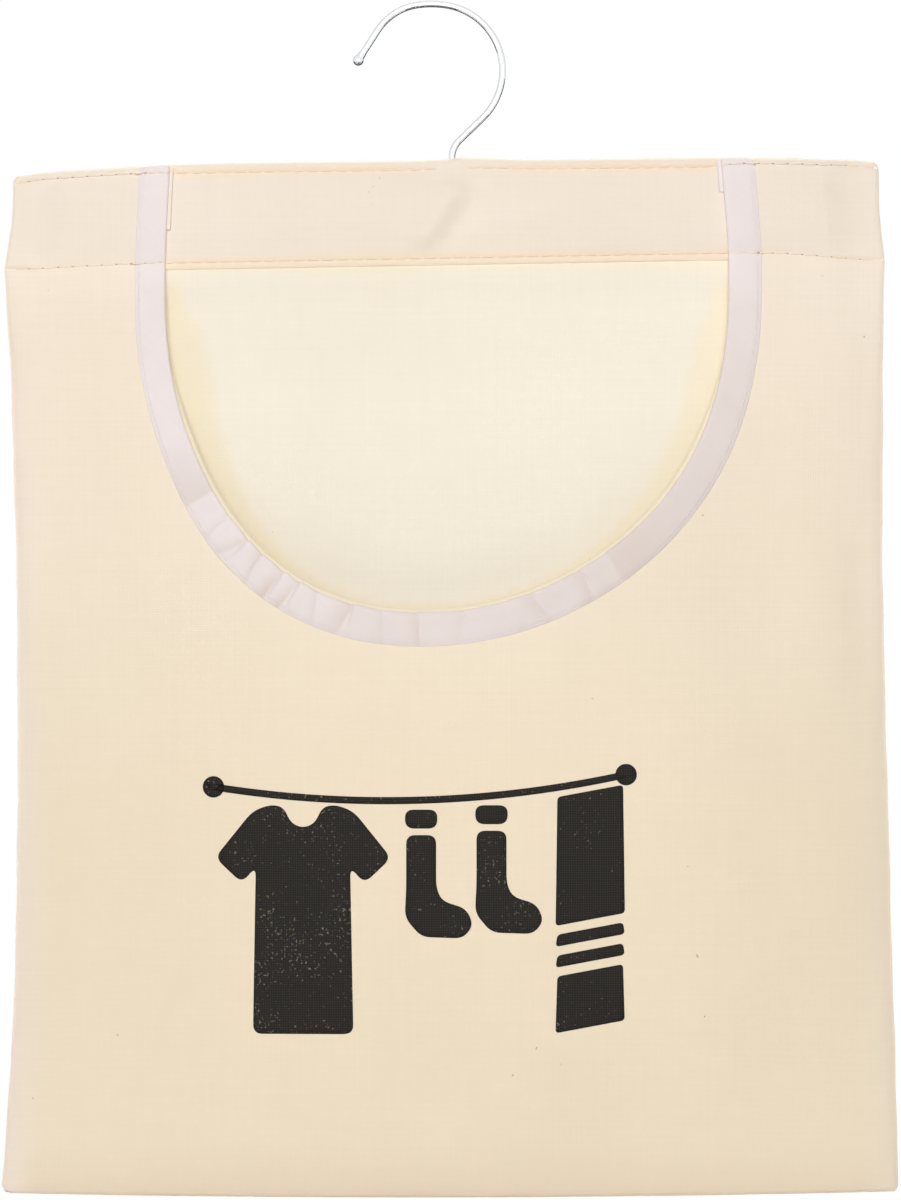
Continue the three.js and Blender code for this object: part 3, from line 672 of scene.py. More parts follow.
    def seam_bulge(self, x, z):
        """The front panel rounds over the seam allowances inside its sewn edges."""
        distance = self.outer_distance(x, z)
        left = np.clip(1 - distance / BULGE_EXTENT, 0, 1)
        fading = (1 - ease(distance, BULGE_EXTENT, BULGE_REACH)) * ease(Z_ROW - z, 0, BULGE_FADE)
        return BULGE_DEPTH * np.sqrt(1 - left ** 2) * fading

    def lip(self, x, z):
        """The mouth's lower edge leans out a little."""
        depth = np.clip((Z_SPRING - z) / MOUTH_ROUND, 0, 2)
        reach = np.abs(x - MOUTH_MIDDLE + MOUTH_SKEW * np.minimum(depth, 1) ** 3) / MOUTH_HALF
        outside = (reach ** MOUTH_POWER + depth ** MOUTH_POWER) ** (1 / MOUTH_POWER) - 1
        away = np.maximum(0, outside * MOUTH_HALF)
        return self.folds * LIP_DEPTH * np.exp(-away / LIP_REACH) * ease(depth, *LIP_LEVELS)

    def front(self, x, z):
        """Depth of the front panel, with its shoulders."""
        back = self.back_plain(x, z)
        closing = self.closing(x, z)
        stack = (ROW_STACK + SHOULDER_STACK - SEAM_STACK) * (1 - ease(Z_ROW - z, 0, SHOULDER_EASE))
        hanging = back - SEAM_STACK - stack * closing - self.belly(x, z)
        hanging = hanging - self.front_folds(x, z) - self.lip(x, z) - self.seam_bulge(x, z)
        folds = SHOULDER_FOLD_SHARE * self.header_folds(x, z)
        shoulder = self.band_plain(x, z) - SHOULDER_STACK - folds
        header = back - SEAM_STACK + (shoulder - back + SEAM_STACK) * closing
        depth = np.where(z >= Z_ROW, header, hanging) + self.row_groove(x, z)
        roll = rolled(self.outer_distance(x, z), SIDE_ROLL) + rolled(self.top_distance(z), TOP_ROLL)
        return depth + roll

    def outward(self, surface, x, z):
        """Unit direction out of the front of a surface."""
        step = 0.2 * MM
        slope_x = (surface(x + step, z) - surface(x - step, z)) / (2 * step)
        slope_z = (surface(x, z + step) - surface(x, z - step)) / (2 * step)
        out = np.stack([slope_x, -np.ones_like(slope_x), slope_z], -1)
        return out / np.linalg.norm(out, axis=-1, keepdims=True)

    def raised(self, surface, x, z, height):
        """Places at a height over the front of a surface."""
        level = np.stack([x, surface(x, z), z], -1) + self.outward(surface, x, z) * height
        return self.place(level[..., 0], level[..., 1], level[..., 2])


# Rows and stations of the cloth's grids

def rows_near(row, reach=2.2 * MM, step=0.55 * MM):
    return np.arange(row + reach, row - reach, -step)


def header_rows(shape, roll):
    """Heights down the header, close together at the rolled top and at the stitched rows."""
    turn = np.linspace(0, math.pi / 2, 6)
    top = Z_TOP - shape.half_canvas - roll[0] * (1 - np.cos(turn))
    upper = rows_near(Z_UPPER_ROW)
    lower = rows_near(Z_ROW)
    between = np.linspace(upper[-1], lower[0], 17)[1:-1]
    heights = np.concatenate([top, upper[upper < top[-1] - LEAST_STEP], between, lower])
    return heights[heights > Z_BAND_EDGE + BAND_TURN]


def side_places(shape, sign, count):
    """Places down one side edge, then round the bottom corner, with the mouth angles that they face."""
    edge = EDGES[sign]
    inset = shape.half_canvas
    share = np.arange(1, count + 1) / count
    corner_z = Z_BOTTOM + CORNER_RADIUS
    z = Z_SPRING + (corner_z - Z_SPRING) * share
    x = edge(z) - sign * inset
    turn = np.linspace(0, math.pi / 2, 7)[1:]
    corner = CORNER_RADIUS - inset
    corner_x = edge(corner_z) - sign * CORNER_RADIUS
    x = np.concatenate([x, corner_x + sign * corner * np.cos(turn)])
    z = np.concatenate([z, corner_z - corner * np.sin(turn)])
    angle = np.concatenate([share * CORNER_ANGLE, CORNER_ANGLE + CORNER_STEP * np.arange(1, 7)])
    return x, z, angle


def mouth_stations(shape, side_count=105, base_count=112):
    """Points on the mouth's edge, the ways outwards, and the points of the bag's edge that they face."""
    straps = np.concatenate([header_rows(shape, TOP_ROLL), np.linspace(Z_BAND_EDGE, Z_SPRING, 8)])
    inner, normal, outer = [], [], []
    for sign, heights in ((-1, straps), (1, straps[::-1])):
        inner.append(np.stack([strap_inner(heights, sign), heights], -1))
        normal.append(np.stack([np.full_like(heights, sign), np.zeros_like(heights)], -1))
        outer.append(np.stack([EDGES[sign](heights) - sign * shape.half_canvas, heights], -1))
    xl, zl, angle_left = side_places(shape, -1, side_count)
    xr, zr, angle_right = side_places(shape, 1, side_count)
    base_x = np.linspace(xl[-1], xr[-1], base_count)[1:-1]
    base_z = bottom_edge(base_x) + shape.half_canvas
    start = angle_left[-1] + CORNER_STEP
    base_angle = np.linspace(start, math.pi - start, base_count)[1:-1]
    angle = np.concatenate([angle_left, base_angle, math.pi - angle_right[::-1]])
    x = np.concatenate([xl, base_x, xr[::-1]])
    z = np.concatenate([zl, base_z, zr[::-1]])
    inner.insert(1, mouth_point(angle))
    normal.insert(1, mouth_normal(angle))
    outer.insert(1, np.stack([x, z], -1))
    return [np.concatenate(pieces) for pieces in (inner, normal, outer)]


def panel_places(stations, tape_width, body_count=40):
    """Rows of places across the front panel: under the tape first, then on to the rolled outer edge."""
    inner, normal, outer = stations
    under = inner[:, None] + normal[:, None] * np.linspace(0, tape_width, 5)[None, :, None]
    start = under[:, -1:]
    span = np.linalg.norm(outer[:, None] - start, axis=-1, keepdims=True)
    body = np.linspace(0, 1, body_count)[1:] * (1 - CLOSE_ROWS / span[:, 0])
    on_roll = SIDE_ROLL[0] * (1 - np.cos(np.radians(ROLL_ANGLES)))
    edge = 1 - np.concatenate([np.array(EDGE_ROWS) * MM, on_roll])[None] / span[:, 0]
    shares = np.concatenate([body, edge], 1)[..., None]
    return np.concatenate([under, start + (outer[:, None] - start) * shares], 1)


# Mesh building

def new_object(name, data):
    made = bpy.data.objects.new(name, data)
    bpy.context.scene.collection.objects.link(made)
    return made


def add_object(name, vertices, faces, material, body, slot=None):
    """A smooth mesh piece that rides on a body."""
    mesh = bpy.data.meshes.new(name)
    mesh.from_pydata(np.asarray(vertices, float).reshape(-1, 3).tolist(), [], faces)
    mesh.validate()
    mesh.shade_smooth()
    mesh.materials.append(material)
    piece = new_object(name, mesh)
    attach(piece, body)
    return piece


def grid_faces(rows, columns, flip=False):
    index = np.arange(rows * columns).reshape(rows, columns)
    quads = np.stack([index[:-1, :-1], index[:-1, 1:], index[1:, 1:], index[1:, :-1]], -1).reshape(-1, 4)
    return (quads[:, ::-1] if flip else quads).tolist()


def add_sheet(name, points, thickness, material, slot, towards=-1):
    """A sheet of cloth with its thickness, whose outer side faces the way that towards gives along Y."""
    rows, columns = points.shape[:2]
    a, b = rows // 2, columns // 2
    facing = np.cross(points[a, b + 1] - points[a, b], points[a + 1, b] - points[a, b])[1]
    faces = grid_faces(rows, columns, flip=facing * towards > 0)
    piece = add_object(name, points, faces, material, "bag", slot)
    solid = piece.modifiers.new("Cloth thickness", "SOLIDIFY")
    solid.thickness = thickness
    solid.offset = 0
    return piece


def add_values(piece, name, values):
    """One number for each point of a mesh, which its material reads by name."""
    piece.data.attributes.new(name, "FLOAT", "POINT").data.foreach_set("value", np.ravel(values))


def ring_faces(steps, sides, start=0):
    """Faces of a closed tube of rings, with a cap at each end, from its first vertex on."""
    index = start + np.arange(steps * sides).reshape(steps, sides)
    after = np.roll(index, -1, axis=1)
    faces = np.stack([index[:-1], after[:-1], after[1:], index[1:]], -1).reshape(-1, 4).tolist()
    return faces + [index[0][::-1].tolist(), index[-1].tolist()]


def tube_mesh(paths, outs, radii, sides=8):
    """Vertices and faces of round tubes along paths of like length, each (count, steps, 3)."""
    count, steps = paths.shape[:2]
    along = np.gradient(paths, axis=1)
    along /= np.linalg.norm(along, axis=-1, keepdims=True)
    side = np.cross(along, outs)
    side /= np.linalg.norm(side, axis=-1, keepdims=True)
    up = np.cross(side, along)
    turn = np.linspace(0, 2 * math.pi, sides, endpoint=False)
    ring = up[:, :, None] * np.cos(turn)[:, None] + side[:, :, None] * np.sin(turn)[:, None]
    vertices = paths[:, :, None] + ring * np.broadcast_to(radii, (count, steps))[:, :, None, None]
    faces = []
    for k in range(count):
        faces += ring_faces(steps, sides, k * steps * sides)
    return vertices.reshape(-1, 3), faces


def stitches(place_at, ends, radius, rise, steps=9):
    """Tubes from hole to hole: place_at(s) gives the surface and the way out at places along the row."""
    t = np.linspace(0, 1, steps)
    s = ends[:, :1] + (ends[:, 1:] - ends[:, :1]) * t
    surface, out = place_at(s)
    height = rise * (np.sin(math.pi * t) ** 0.5 * 1.25 - 0.75)
    radii = radius * (1 - 0.25 * (2 * t - 1) ** 4)
    return tube_mesh(surface + out * height[None, :, None], out, radii)


# Materials

def linear(hex_colour):
    """sRGB hex to linear red, green, blue and full alpha."""
    parts = [int(hex_colour[i:i + 2], 16) / 255 for i in (0, 2, 4)]
    return [c / 12.92 if c <= 0.04045 else ((c + 0.055) / 1.055) ** 2.4 for c in parts] + [1.0]


def add(tree, kind, inputs=None, **settings):
    """Adds a node with its settings; inputs are values or the sockets to link from."""
    made = tree.nodes.new(kind)
    for name, value in settings.items():
        setattr(made, name, value)
    for key, value in (inputs or {}).items():
        if isinstance(value, bpy.types.NodeSocket):
            tree.links.new(value, made.inputs[key])
        else:
            made.inputs[key].default_value = value
    return made


def new_material(name):
    """An empty material, its node tree, and the places on the object that its patterns are laid out by."""
    material = bpy.data.materials.new(name)
    material.use_nodes = True
    tree = material.node_tree
    tree.nodes.clear()
    return material, tree, add(tree, "ShaderNodeTexCoord").outputs["Object"]


def finished(material, surface, relief=None):
    """Closes a material with its surface; the relief is a height, its strength and its distance."""
    tree = material.node_tree
    if relief:
        inputs = dict(zip(("Height", "Strength", "Distance"), relief))
        surface["Normal"] = add(tree, "ShaderNodeBump", inputs).outputs[0]
    shader = add(tree, "ShaderNodeBsdfPrincipled", surface)
    add(tree, "ShaderNodeOutputMaterial", {"Surface": shader.outputs[0]})
    return material


def patches(tree, place, size, detail=2.0):
    """Uneven patches of about that size along X, Y and Z, from 0 to 1."""
    scaled = add(tree, "ShaderNodeVectorMath", {0: place, 1: [1 / s for s in size]}, operation="MULTIPLY")
    made = add(tree, "ShaderNodeTexNoise", {"Vector": scaled.outputs[0], "Scale": 1.0, "Detail": detail})
    return made.outputs["Fac"]


def tinted(tree, first, second, value, low=0.0, high=1.0, most=1.0):
    """One colour turning to a second, up to a share, as a value goes from low to high."""
    share = add(tree, "ShaderNodeMapRange", {0: value, 1: low, 2: high, 3: 0.0, 4: most}).outputs[0]
    return add(tree, "ShaderNodeMix", {0: share, 6: first, 7: second}, data_type="RGBA").outputs[2]


def plain_weave(tree, place, pitch):
    """Height of a plain weave seen along Y: yarns up and down, over and under, one pitch apart."""
    parts = add(tree, "ShaderNodeSeparateXYZ", {0: place}).outputs
    waves = {}
    for key, axis in enumerate("XZ"):
        phase = add(tree, "ShaderNodeMath", {0: parts[axis], 1: math.pi / pitch}, operation="MULTIPLY")
        wave = add(tree, "ShaderNodeMath", {0: phase.outputs[0]}, operation="SINE")
        waves[key] = add(tree, "ShaderNodeMath", {0: wave.outputs[0]}, operation="ABSOLUTE").outputs[0]
    return add(tree, "ShaderNodeMath", waves, operation="MULTIPLY").outputs[0]


def canvas_material(name, faces, shade, mouth_tints, warm, edge, fleck, pitch):
    """Unbleached cotton canvas, plain woven.

    The eye sees a matt cream cloth with a fine even grain, slightly thick and thin yarns running both ways,
    a yellower tone lower down, a soft bloom at grazing angles and very few brown seed flecks. Painted shade
    lies across the header, in the rows, in the hollows between the yarns and along the bottom; inside,
    painted light and shade lie lower down and beside the mouth.
    """
    material, tree, place = new_material(name)
    across, _, height_up = add(tree, "ShaderNodeSeparateXYZ", {0: place}).outputs
    warp = patches(tree, place, (pitch * 1.2, 30 * MM, 38 * MM))
    weft = patches(tree, place, (38 * MM, 30 * MM, pitch * 1.2))
    yarns = add(tree, "ShaderNodeMath", {0: warp, 1: weft}, operation="ADD").outputs[0]
    weave = plain_weave(tree, place, pitch)
    header_painted_shade, face, low_face = faces
    # Lower down: yellower outside; inside, painted light against the shade under the mouth's lower edge
    tone = tinted(tree, face, low_face, height_up, Z_ROW, Z_ROW - LOWER_TINT_REACH)
    # Painted shade across the header
    tone = tinted(tree, tone, header_painted_shade, height_up, Z_ROW - HEADER_SHADE_BELOW_ROW, Z_ROW + HEADER_SHADE_ABOVE_ROW)
    # Painted shade along the bottom edge
    tone = tinted(tree, tone, shade, height_up, Z_BOTTOM + SHADED_BOTTOM_STRIP, Z_BOTTOM, 0.9)
    # Paler cloth over the side seams, and warm painted shade in the band's rows
    marked = [("edge", edge, 1.0), ("warm", warm, 0.8)]
    if mouth_tints:
        # Painted shade on the left turning to painted warm light on the right, for the front panel's shade
        # and the light through its edge
        marked.insert(0, ("glow", tinted(tree, *mouth_tints, across, -MOUTH_LEFT, MOUTH_RIGHT), 1.0))
    for mark, tint, most in marked:
        share = add(tree, "ShaderNodeAttribute", attribute_name=mark).outputs["Fac"]
        tone = tinted(tree, tone, tint, share, most=most)
    tone = tinted(tree, tone, shade, yarns, 0.75, 1.25, 0.18)
    cloudy = patches(tree, place, (60 * MM, 60 * MM, 80 * MM))
    tone = tinted(tree, tone, shade, cloudy, 0.35, 0.7, 0.25)
    # Painted shade in the hollows between the yarns
    tone = tinted(tree, tone, shade, weave, 0.5, 0.0, 0.08)
    # Seed flecks, under 1 mm across and far apart
    specks = patches(tree, place, (1.2 * MM, 1.2 * MM, 1.4 * MM), detail=0.0)
    sparse = patches(tree, place, (17 * MM, 17 * MM, 17 * MM), detail=0.0)
    seeds = add(tree, "ShaderNodeMath", {0: specks, 1: sparse}, operation="ADD").outputs[0]
    tone = tinted(tree, tone, fleck, seeds, 1.6, 1.66, 0.7)
    height = add(tree, "ShaderNodeMath", {0: yarns, 1: 0.5, 2: weave}, operation="MULTIPLY_ADD").outputs[0]
    return finished(material, {
        "Base Color": tone, "Roughness": 0.92, "IOR": 1.46, "Specular IOR Level": 0.2,
        "Sheen Weight": 0.06, "Sheen Roughness": 0.5}, (height, 0.17, 0.2 * MM))


def tape_material(face, shade, creased, pitch):
    """Bleached cotton bias tape, pressed.

    The eye sees a smooth, slightly pink white with a very fine diagonal grain, because the cloth is cut on
    the bias; a greyer painted shade lies in its creases, round the bottom of the mouth and up its right.
    """
    material, tree, place = new_material("Bleached cotton bias tape")
    bias = {0: place, "Angle": math.radians(45)}
    turned = add(tree, "ShaderNodeVectorRotate", bias, rotation_type="Y_AXIS").outputs[0]
    weave = plain_weave(tree, turned, pitch)
    yarns = patches(tree, turned, (pitch * 1.2, 20 * MM, 9 * MM))
    tone = tinted(tree, face, shade, yarns, 0.35, 0.65, 0.1)
    tone = tinted(tree, tone, shade, patches(tree, place, [14 * MM] * 3), 0.35, 0.7, 0.25)
    # Painted shade in the creases, round the bottom of the mouth and up its right
    painted_tape_shade = add(tree, "ShaderNodeAttribute", attribute_name="shade").outputs["Fac"]
    return finished(material, {
        "Base Color": tinted(tree, tone, creased, painted_tape_shade), "Roughness": 0.85, "IOR": 1.46,
        "Specular IOR Level": 0.25, "Sheen Weight": 0.06, "Sheen Roughness": 0.4}, (weave, 0.2, 0.12 * MM))


def thread_material(name, face, shade):
    """Twisted cotton sewing thread.

    The eye sees a slightly glossy cord with slanted twist lines, about one to each thread's width.
    """
    material, tree, place = new_material(name)
    slant = {0: place, "Angle": math.radians(35)}
    turned = add(tree, "ShaderNodeVectorRotate", slant, rotation_type="Y_AXIS").outputs[0]
    # A wave texture of scale 1 repeats every 0.314 units
    wave = {"Vector": turned, "Scale": 0.314 / TWIST_PITCH, "Distortion": 0.6}
    twist = add(tree, "ShaderNodeTexWave", wave).outputs["Fac"]
    return finished(material, {
        "Base Color": tinted(tree, shade, face, twist), "Roughness": 0.7, "IOR": 1.46,
        "Specular IOR Level": 0.35, "Sheen Weight": 0.1}, (twist, 0.4, 0.1 * MM))


def ink_material(ink, cloth, pitch):
    """Black water-based screen print on canvas.

    The eye sees a dry, slightly warm black that sits on the yarns, with small pale specks where it missed
    them.
    """
    material, tree, place = new_material("Screen print ink on canvas")
    weave = plain_weave(tree, place, pitch)
    grain = patches(tree, place, [0.9 * MM] * 3, detail=1.0)
    wear = patches(tree, place, [26 * MM] * 3)
    thin = add(tree, "ShaderNodeMath", {0: wear, 1: 0.45, 2: grain}, operation="MULTIPLY_ADD").outputs[0]
    tone = tinted(tree, ink, cloth, thin, 0.88, 1.02, 0.22)
    tone = tinted(tree, tone, cloth, weave, 0.3, 0.0, 0.03)
    return finished(material, {
        "Base Color": tone, "Roughness": 0.8, "IOR": 1.5, "Specular IOR Level": 0.12},
        (weave, 0.3, 0.15 * MM))


def chrome_material(metal):
    """Bright chrome plate on drawn steel wire.

    The eye sees a mirror with faint drawing lines, so it shows the white room and thin dark edges.
    """
    material, tree, place = new_material("Chrome-plated steel wire")
    wave = patches(tree, place, [2.5 * MM] * 3)
    rough = add(tree, "ShaderNodeMapRange", {0: wave, 1: 0.3, 2: 0.7, 3: 0.04, 4: 0.12}).outputs[0]
    return finished(
        material, {"Base Color": metal, "Metallic": 1.0, "Roughness": rough}, (wave, 0.05, 0.1 * MM))


def zinc_material(metal, dull):
    """Zinc-plated steel, as on small hardware.

    The eye sees a satin blue-grey metal with soft crystal patches under a millimetre across.
    """
    material, tree, place = new_material("Zinc-plated steel")
    crystals = {"Vector": place, "Scale": 1 / (0.7 * MM)}
    spangle = add(tree, "ShaderNodeTexVoronoi", crystals).outputs["Distance"]
    rough = add(tree, "ShaderNodeMapRange", {0: spangle, 1: 0.0, 2: 1.0, 3: 0.28, 4: 0.45}).outputs[0]
    tone = tinted(tree, metal, dull, spangle)
    return finished(material, {"Base Color": tone, "Metallic": 1.0, "Roughness": rough})


def beech_material(wood, grain):
    """Sanded beech, left bare.

    The eye sees a pale pinkish wood with straight grain about 1.5 mm apart and short dark flecks along it.
    """
    material, tree, place = new_material("Sanded beech")
    rings = patches(tree, place, (120 * MM, 1.5 * MM, 1.5 * MM), detail=3.0)
    flecks = patches(tree, place, (4 * MM, 0.4 * MM, 0.4 * MM))
    tone = tinted(tree, wood, grain, rings, 0.35, 0.65, 0.7)
    tone = tinted(tree, tone, grain, flecks, 0.62, 0.7, 0.5)
    return finished(material, {"Base Color": tone, "Roughness": 0.6, "IOR": 1.5}, (rings, 0.2, 0.1 * MM))


def floor_material(colour):
    """Matt paper, for the pale sweep and for the cards that the wire mirrors."""
    return finished(new_material("Pale paper floor")[0], {"Base Color": colour, "Roughness": 0.9})


# What a user can change

def length(name, description, default):
    return bpy.props.FloatProperty(
        name=name, description=description, default=default, unit="LENGTH", precision=5, min=0)


def colour(name, description, default):
    return bpy.props.FloatVectorProperty(
        name=name, description=description, default=linear(default), size=4, subtype="COLOR", min=0, max=1)


class PegBagSizes(bpy.types.PropertyGroup):
    """Sizes of the cloth, thread, print and wire."""

    canvas_thickness: length("Canvas thickness", "Thickness of the canvas", 0.8 * MM)
    belly_depth: length("Belly depth", "How far the front stands off the back where that is most", 18 * MM)
    tape_width: length("Tape width", "Width of the bias tape on the front", 10.2 * MM)
    tape_thickness: length("Tape thickness", "Thickness of the bias tape", 0.4 * MM)
    thread_diameter: length("Thread", "Diameter of the sewing thread", 0.5 * MM)
    stitch_length: length("Header stitch", "From needle hole to needle hole in the header", 4.9 * MM)
    tape_stitch_length: length("Tape stitch", "From needle hole to needle hole along the tape", 2.8 * MM)
    weave_pitch: length(
        "Weave pitch", "Yarn spacing, drawn a little wider than the cloth's 0.6 mm so that it shows",
        0.8 * MM)
    print_width: length("Print width", "Width of the printed design", 144 * MM)
    wire_diameter: length("Wire", "Diameter of the hook's wire", 2.2 * MM)
    fold_share: bpy.props.FloatProperty(
        name="Folds", description="Share of the cloth's soft folds", default=1.0, min=0, max=2,
        subtype="FACTOR")


class PegBagColours(bpy.types.PropertyGroup):
    """Colours of the bag's materials."""

    canvas: colour("Canvas", "Light yarns of the canvas", "F8EBDB")
    # Painted shade across the header
    canvas_header_painted_shade: colour("Canvas header", "Light yarns of the canvas across the header", "F3E7D9")
    canvas_low: colour("Canvas lower down", "Light yarns of the canvas towards the bottom", "F6E6CC")
    canvas_shade: colour("Canvas shade", "Darker yarns and hollows of the canvas", "EEDCC2")
    # Warm painted shade in the band's stitched rows
    canvas_row_painted_shade: colour("Canvas at the rows", "The band along its stitched rows", "FAE2C8")
    canvas_edge: colour("Canvas at the sides", "The front panel over its side seams", "F9EADB")
    canvas_inside: colour("Canvas inside", "The back panel, seen through the mouth", "F9F2E7")
    # Painted light on the back panel behind the mouth's bottom, against the shade of its lower edge
    canvas_inside_low_painted_light: colour(
        "Canvas inside lower down", "The back panel behind the mouth's bottom", "FFFDF6")
    # Painted shade beside the mouth's left edge and painted light beside its right edge, on the back panel
    left_painted_shade: colour("Left glow", "The back panel beside the mouth's left edge", "F7EACE")
    right_painted_light: colour("Right glow", "The back panel beside the mouth's right edge", "FEF2D8")
    canvas_inside_shade: colour("Canvas inside shade", "Darker yarns of the back panel", "F1E6CF")
    facing: colour("Facing", "The facing behind the tape", "F5E8CC")
    fleck: colour("Seed fleck", "Seed flecks in the canvas", "B79C78")
    tape: colour("Tape", "Light yarns of the tape", "F1E6E4")
    tape_shade: colour("Tape shade", "Darker yarns of the tape", "E4D7D4")
    # Painted shade on the tape, in its creases and round the mouth's bottom and right
    tape_painted_shade: colour("Creased tape", "The tape where it is creased and handled", "D8C8BD")
    thread: colour("Thread", "Sewing thread", "F6E2CA")
    thread_shade: colour("Thread shade", "Hollows in the thread's twist", "EBD5BB")
    needle_hole: colour("Needle hole", "Thread in the shade of a needle hole", "C9B2A6")
    needle_hole_shade: colour("Needle hole shade", "Twist of the thread in the shade", "A48D84")
    ink: colour("Ink", "Printed design", "262422")
    chrome: colour("Chrome", "Plated wire", "EAECEE")
    zinc: colour("Zinc", "Plated hardware", "B9BDC2")
    zinc_shade: colour("Zinc shade", "Duller crystals of the plating", "94989D")
    beech: colour("Beech", "Wood of the bar", "DDBB93")
    beech_grain: colour("Beech grain", "Darker grain of the bar", "BE935F")
    floor: colour("Floor", "Floor under the bag", "E9E8E5")


CANVAS_TONES = {
    "outside": ("canvas_header_painted_shade", "canvas", "canvas_low", "canvas_shade"),
    "inside": ("canvas_inside", "canvas_inside", "canvas_inside_low_painted_light", "canvas_inside_shade"),
    "facing": ("facing", "facing", "facing", "canvas_inside_shade"),
}


def tones(context, *names):
    """The bag's colours of these names."""
    return [list(getattr(context.scene.peg_bag_colours, name)) for name in names]


def canvas_of(context, side):
    """The canvas material of one side of the bag, made once."""
    name = f"Unbleached cotton canvas, {side}"
    *faces, shade = tones(context, *CANVAS_TONES[side])
    mouth_tints = tones(context, "left_painted_shade", "right_painted_light") if side == "inside" else None
    marks = tones(context, "canvas_row_painted_shade", "canvas_edge", "fleck")
    return bpy.data.materials.get(name) or canvas_material(
        name, faces, shade, mouth_tints, *marks, context.scene.peg_bag_sizes.weave_pitch)


def thread_of(context, name="Cotton sewing thread", tone="thread"):
    """A thread's material by its name and the name of its colour, made once."""
    return bpy.data.materials.get(name) or thread_material(name, *tones(context, tone, f"{tone}_shade"))


class PEGBAG_OT_back_panel(bpy.types.Operator):
    """Makes the back panel, which hangs from the bar and rolls forward at its sewn edges"""

    bl_idname = "pegbag.back_panel"
    bl_label = "Back panel"

    def glow(self, points):
        """1 beside the mouth's edge, for painted light through the front panel and its painted shade, and
        below the band for a painted shadow, fading to 0 further in.
        """
        edge = mouth_point(np.linspace(0, math.pi, 90))
        x, z = points[..., 0], points[..., 2]
        nearest = np.full(x.shape, 1.0)
        for edge_x, edge_z in edge:
            reach = PAINTED_TINT_REACH + PAINTED_TINT_SPREAD * abs(edge_x / MOUTH_LEFT) ** 3
            reach *= PAINTED_TINT_LEAST + (1 - PAINTED_TINT_LEAST) * ease(edge_z, Z_SPRING, Z_SPRING - PAINTED_TINT_RISE)
            nearest = np.minimum(nearest, np.hypot(x - edge_x, z - edge_z) / reach)
        below_band = (Z_BAND_EDGE - z) / PAINTED_TINT_REACH
        return np.maximum(ease(nearest, *PAINTED_TINT_FADE), BAND_PAINTED_SHADOW * ease(below_band, *BAND_PAINTED_SHADOW_FADE))

    def execute(self, context):
        shape = BagShape(context)
        inset = shape.half_canvas
        header = header_rows(shape, BAND_ROLL)
        tucked = np.linspace(header[-1], Z_BAND_EDGE - TUCKED_ROWS, 12)[1:]
        start = tucked[-1]
        base = Z_BOTTOM + inset + BACK_ROLL[0]
        hanging = start + (base - start) * np.linspace(0, 1, 130)[1:-1]
        on_roll = base - BACK_ROLL[0] * np.cos(np.linspace(math.pi / 2, 0, 6))
        across = np.linspace(-1, 1, 240)
        across = np.sign(across) * (1 - (1 - np.abs(across)) ** 1.15)
        points = []
        for level in np.concatenate([header, tucked, hanging, on_roll]):
            left = left_edge(level) + inset
            right = right_edge(level) - inset
            x = (left + right) / 2 + across * (right - left) / 2
            # Lower rows follow more and more of the bottom's sag
            z = level + (bottom_edge(x) - Z_BOTTOM) * max(0, start - level) / (start - Z_BOTTOM)
            points.append(shape.place(x, shape.back(x, z), z))
        panel = add_sheet("back_panel_canvas", np.array(points), shape.sizes.canvas_thickness,
                          canvas_of(context, "inside"), "canvas", towards=1)
        panel.data.materials.append(canvas_of(context, "outside"))
        panel.modifiers[0].material_offset = 1
        add_values(panel, "glow", self.glow(np.array(points)))
        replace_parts(panel, "back_panel")
        return {"FINISHED"}


class PEGBAG_OT_front_panel(bpy.types.Operator):
    """Makes the front panel: one shell with the mouth cut out, full in the belly and rolled at its edges"""

    bl_idname = "pegbag.front_panel"
    bl_label = "Front panel"

    def execute(self, context):
        shape = BagShape(context)
        places = panel_places(mouth_stations(shape), shape.sizes.tape_width)
        x, z = places[..., 0], places[..., 1]
        panel = add_sheet("front_panel_canvas", shape.place(x, shape.front(x, z), z),
                          shape.sizes.canvas_thickness, canvas_of(context, "outside"), "canvas")
        # Over its side seams the cloth is less yellow
        left, right = ease(x - left_edge(z), EDGE_TONE, 0), ease(right_edge(z) - x, EDGE_TONE, 0)
        paler = np.maximum(left, EDGE_TONE_RIGHT * right) * ease(Z_ROW - z, 0, EDGE_TONE_EASE)
        add_values(panel, "edge", paler)
        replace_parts(panel, "front_panel")
        return {"FINISHED"}


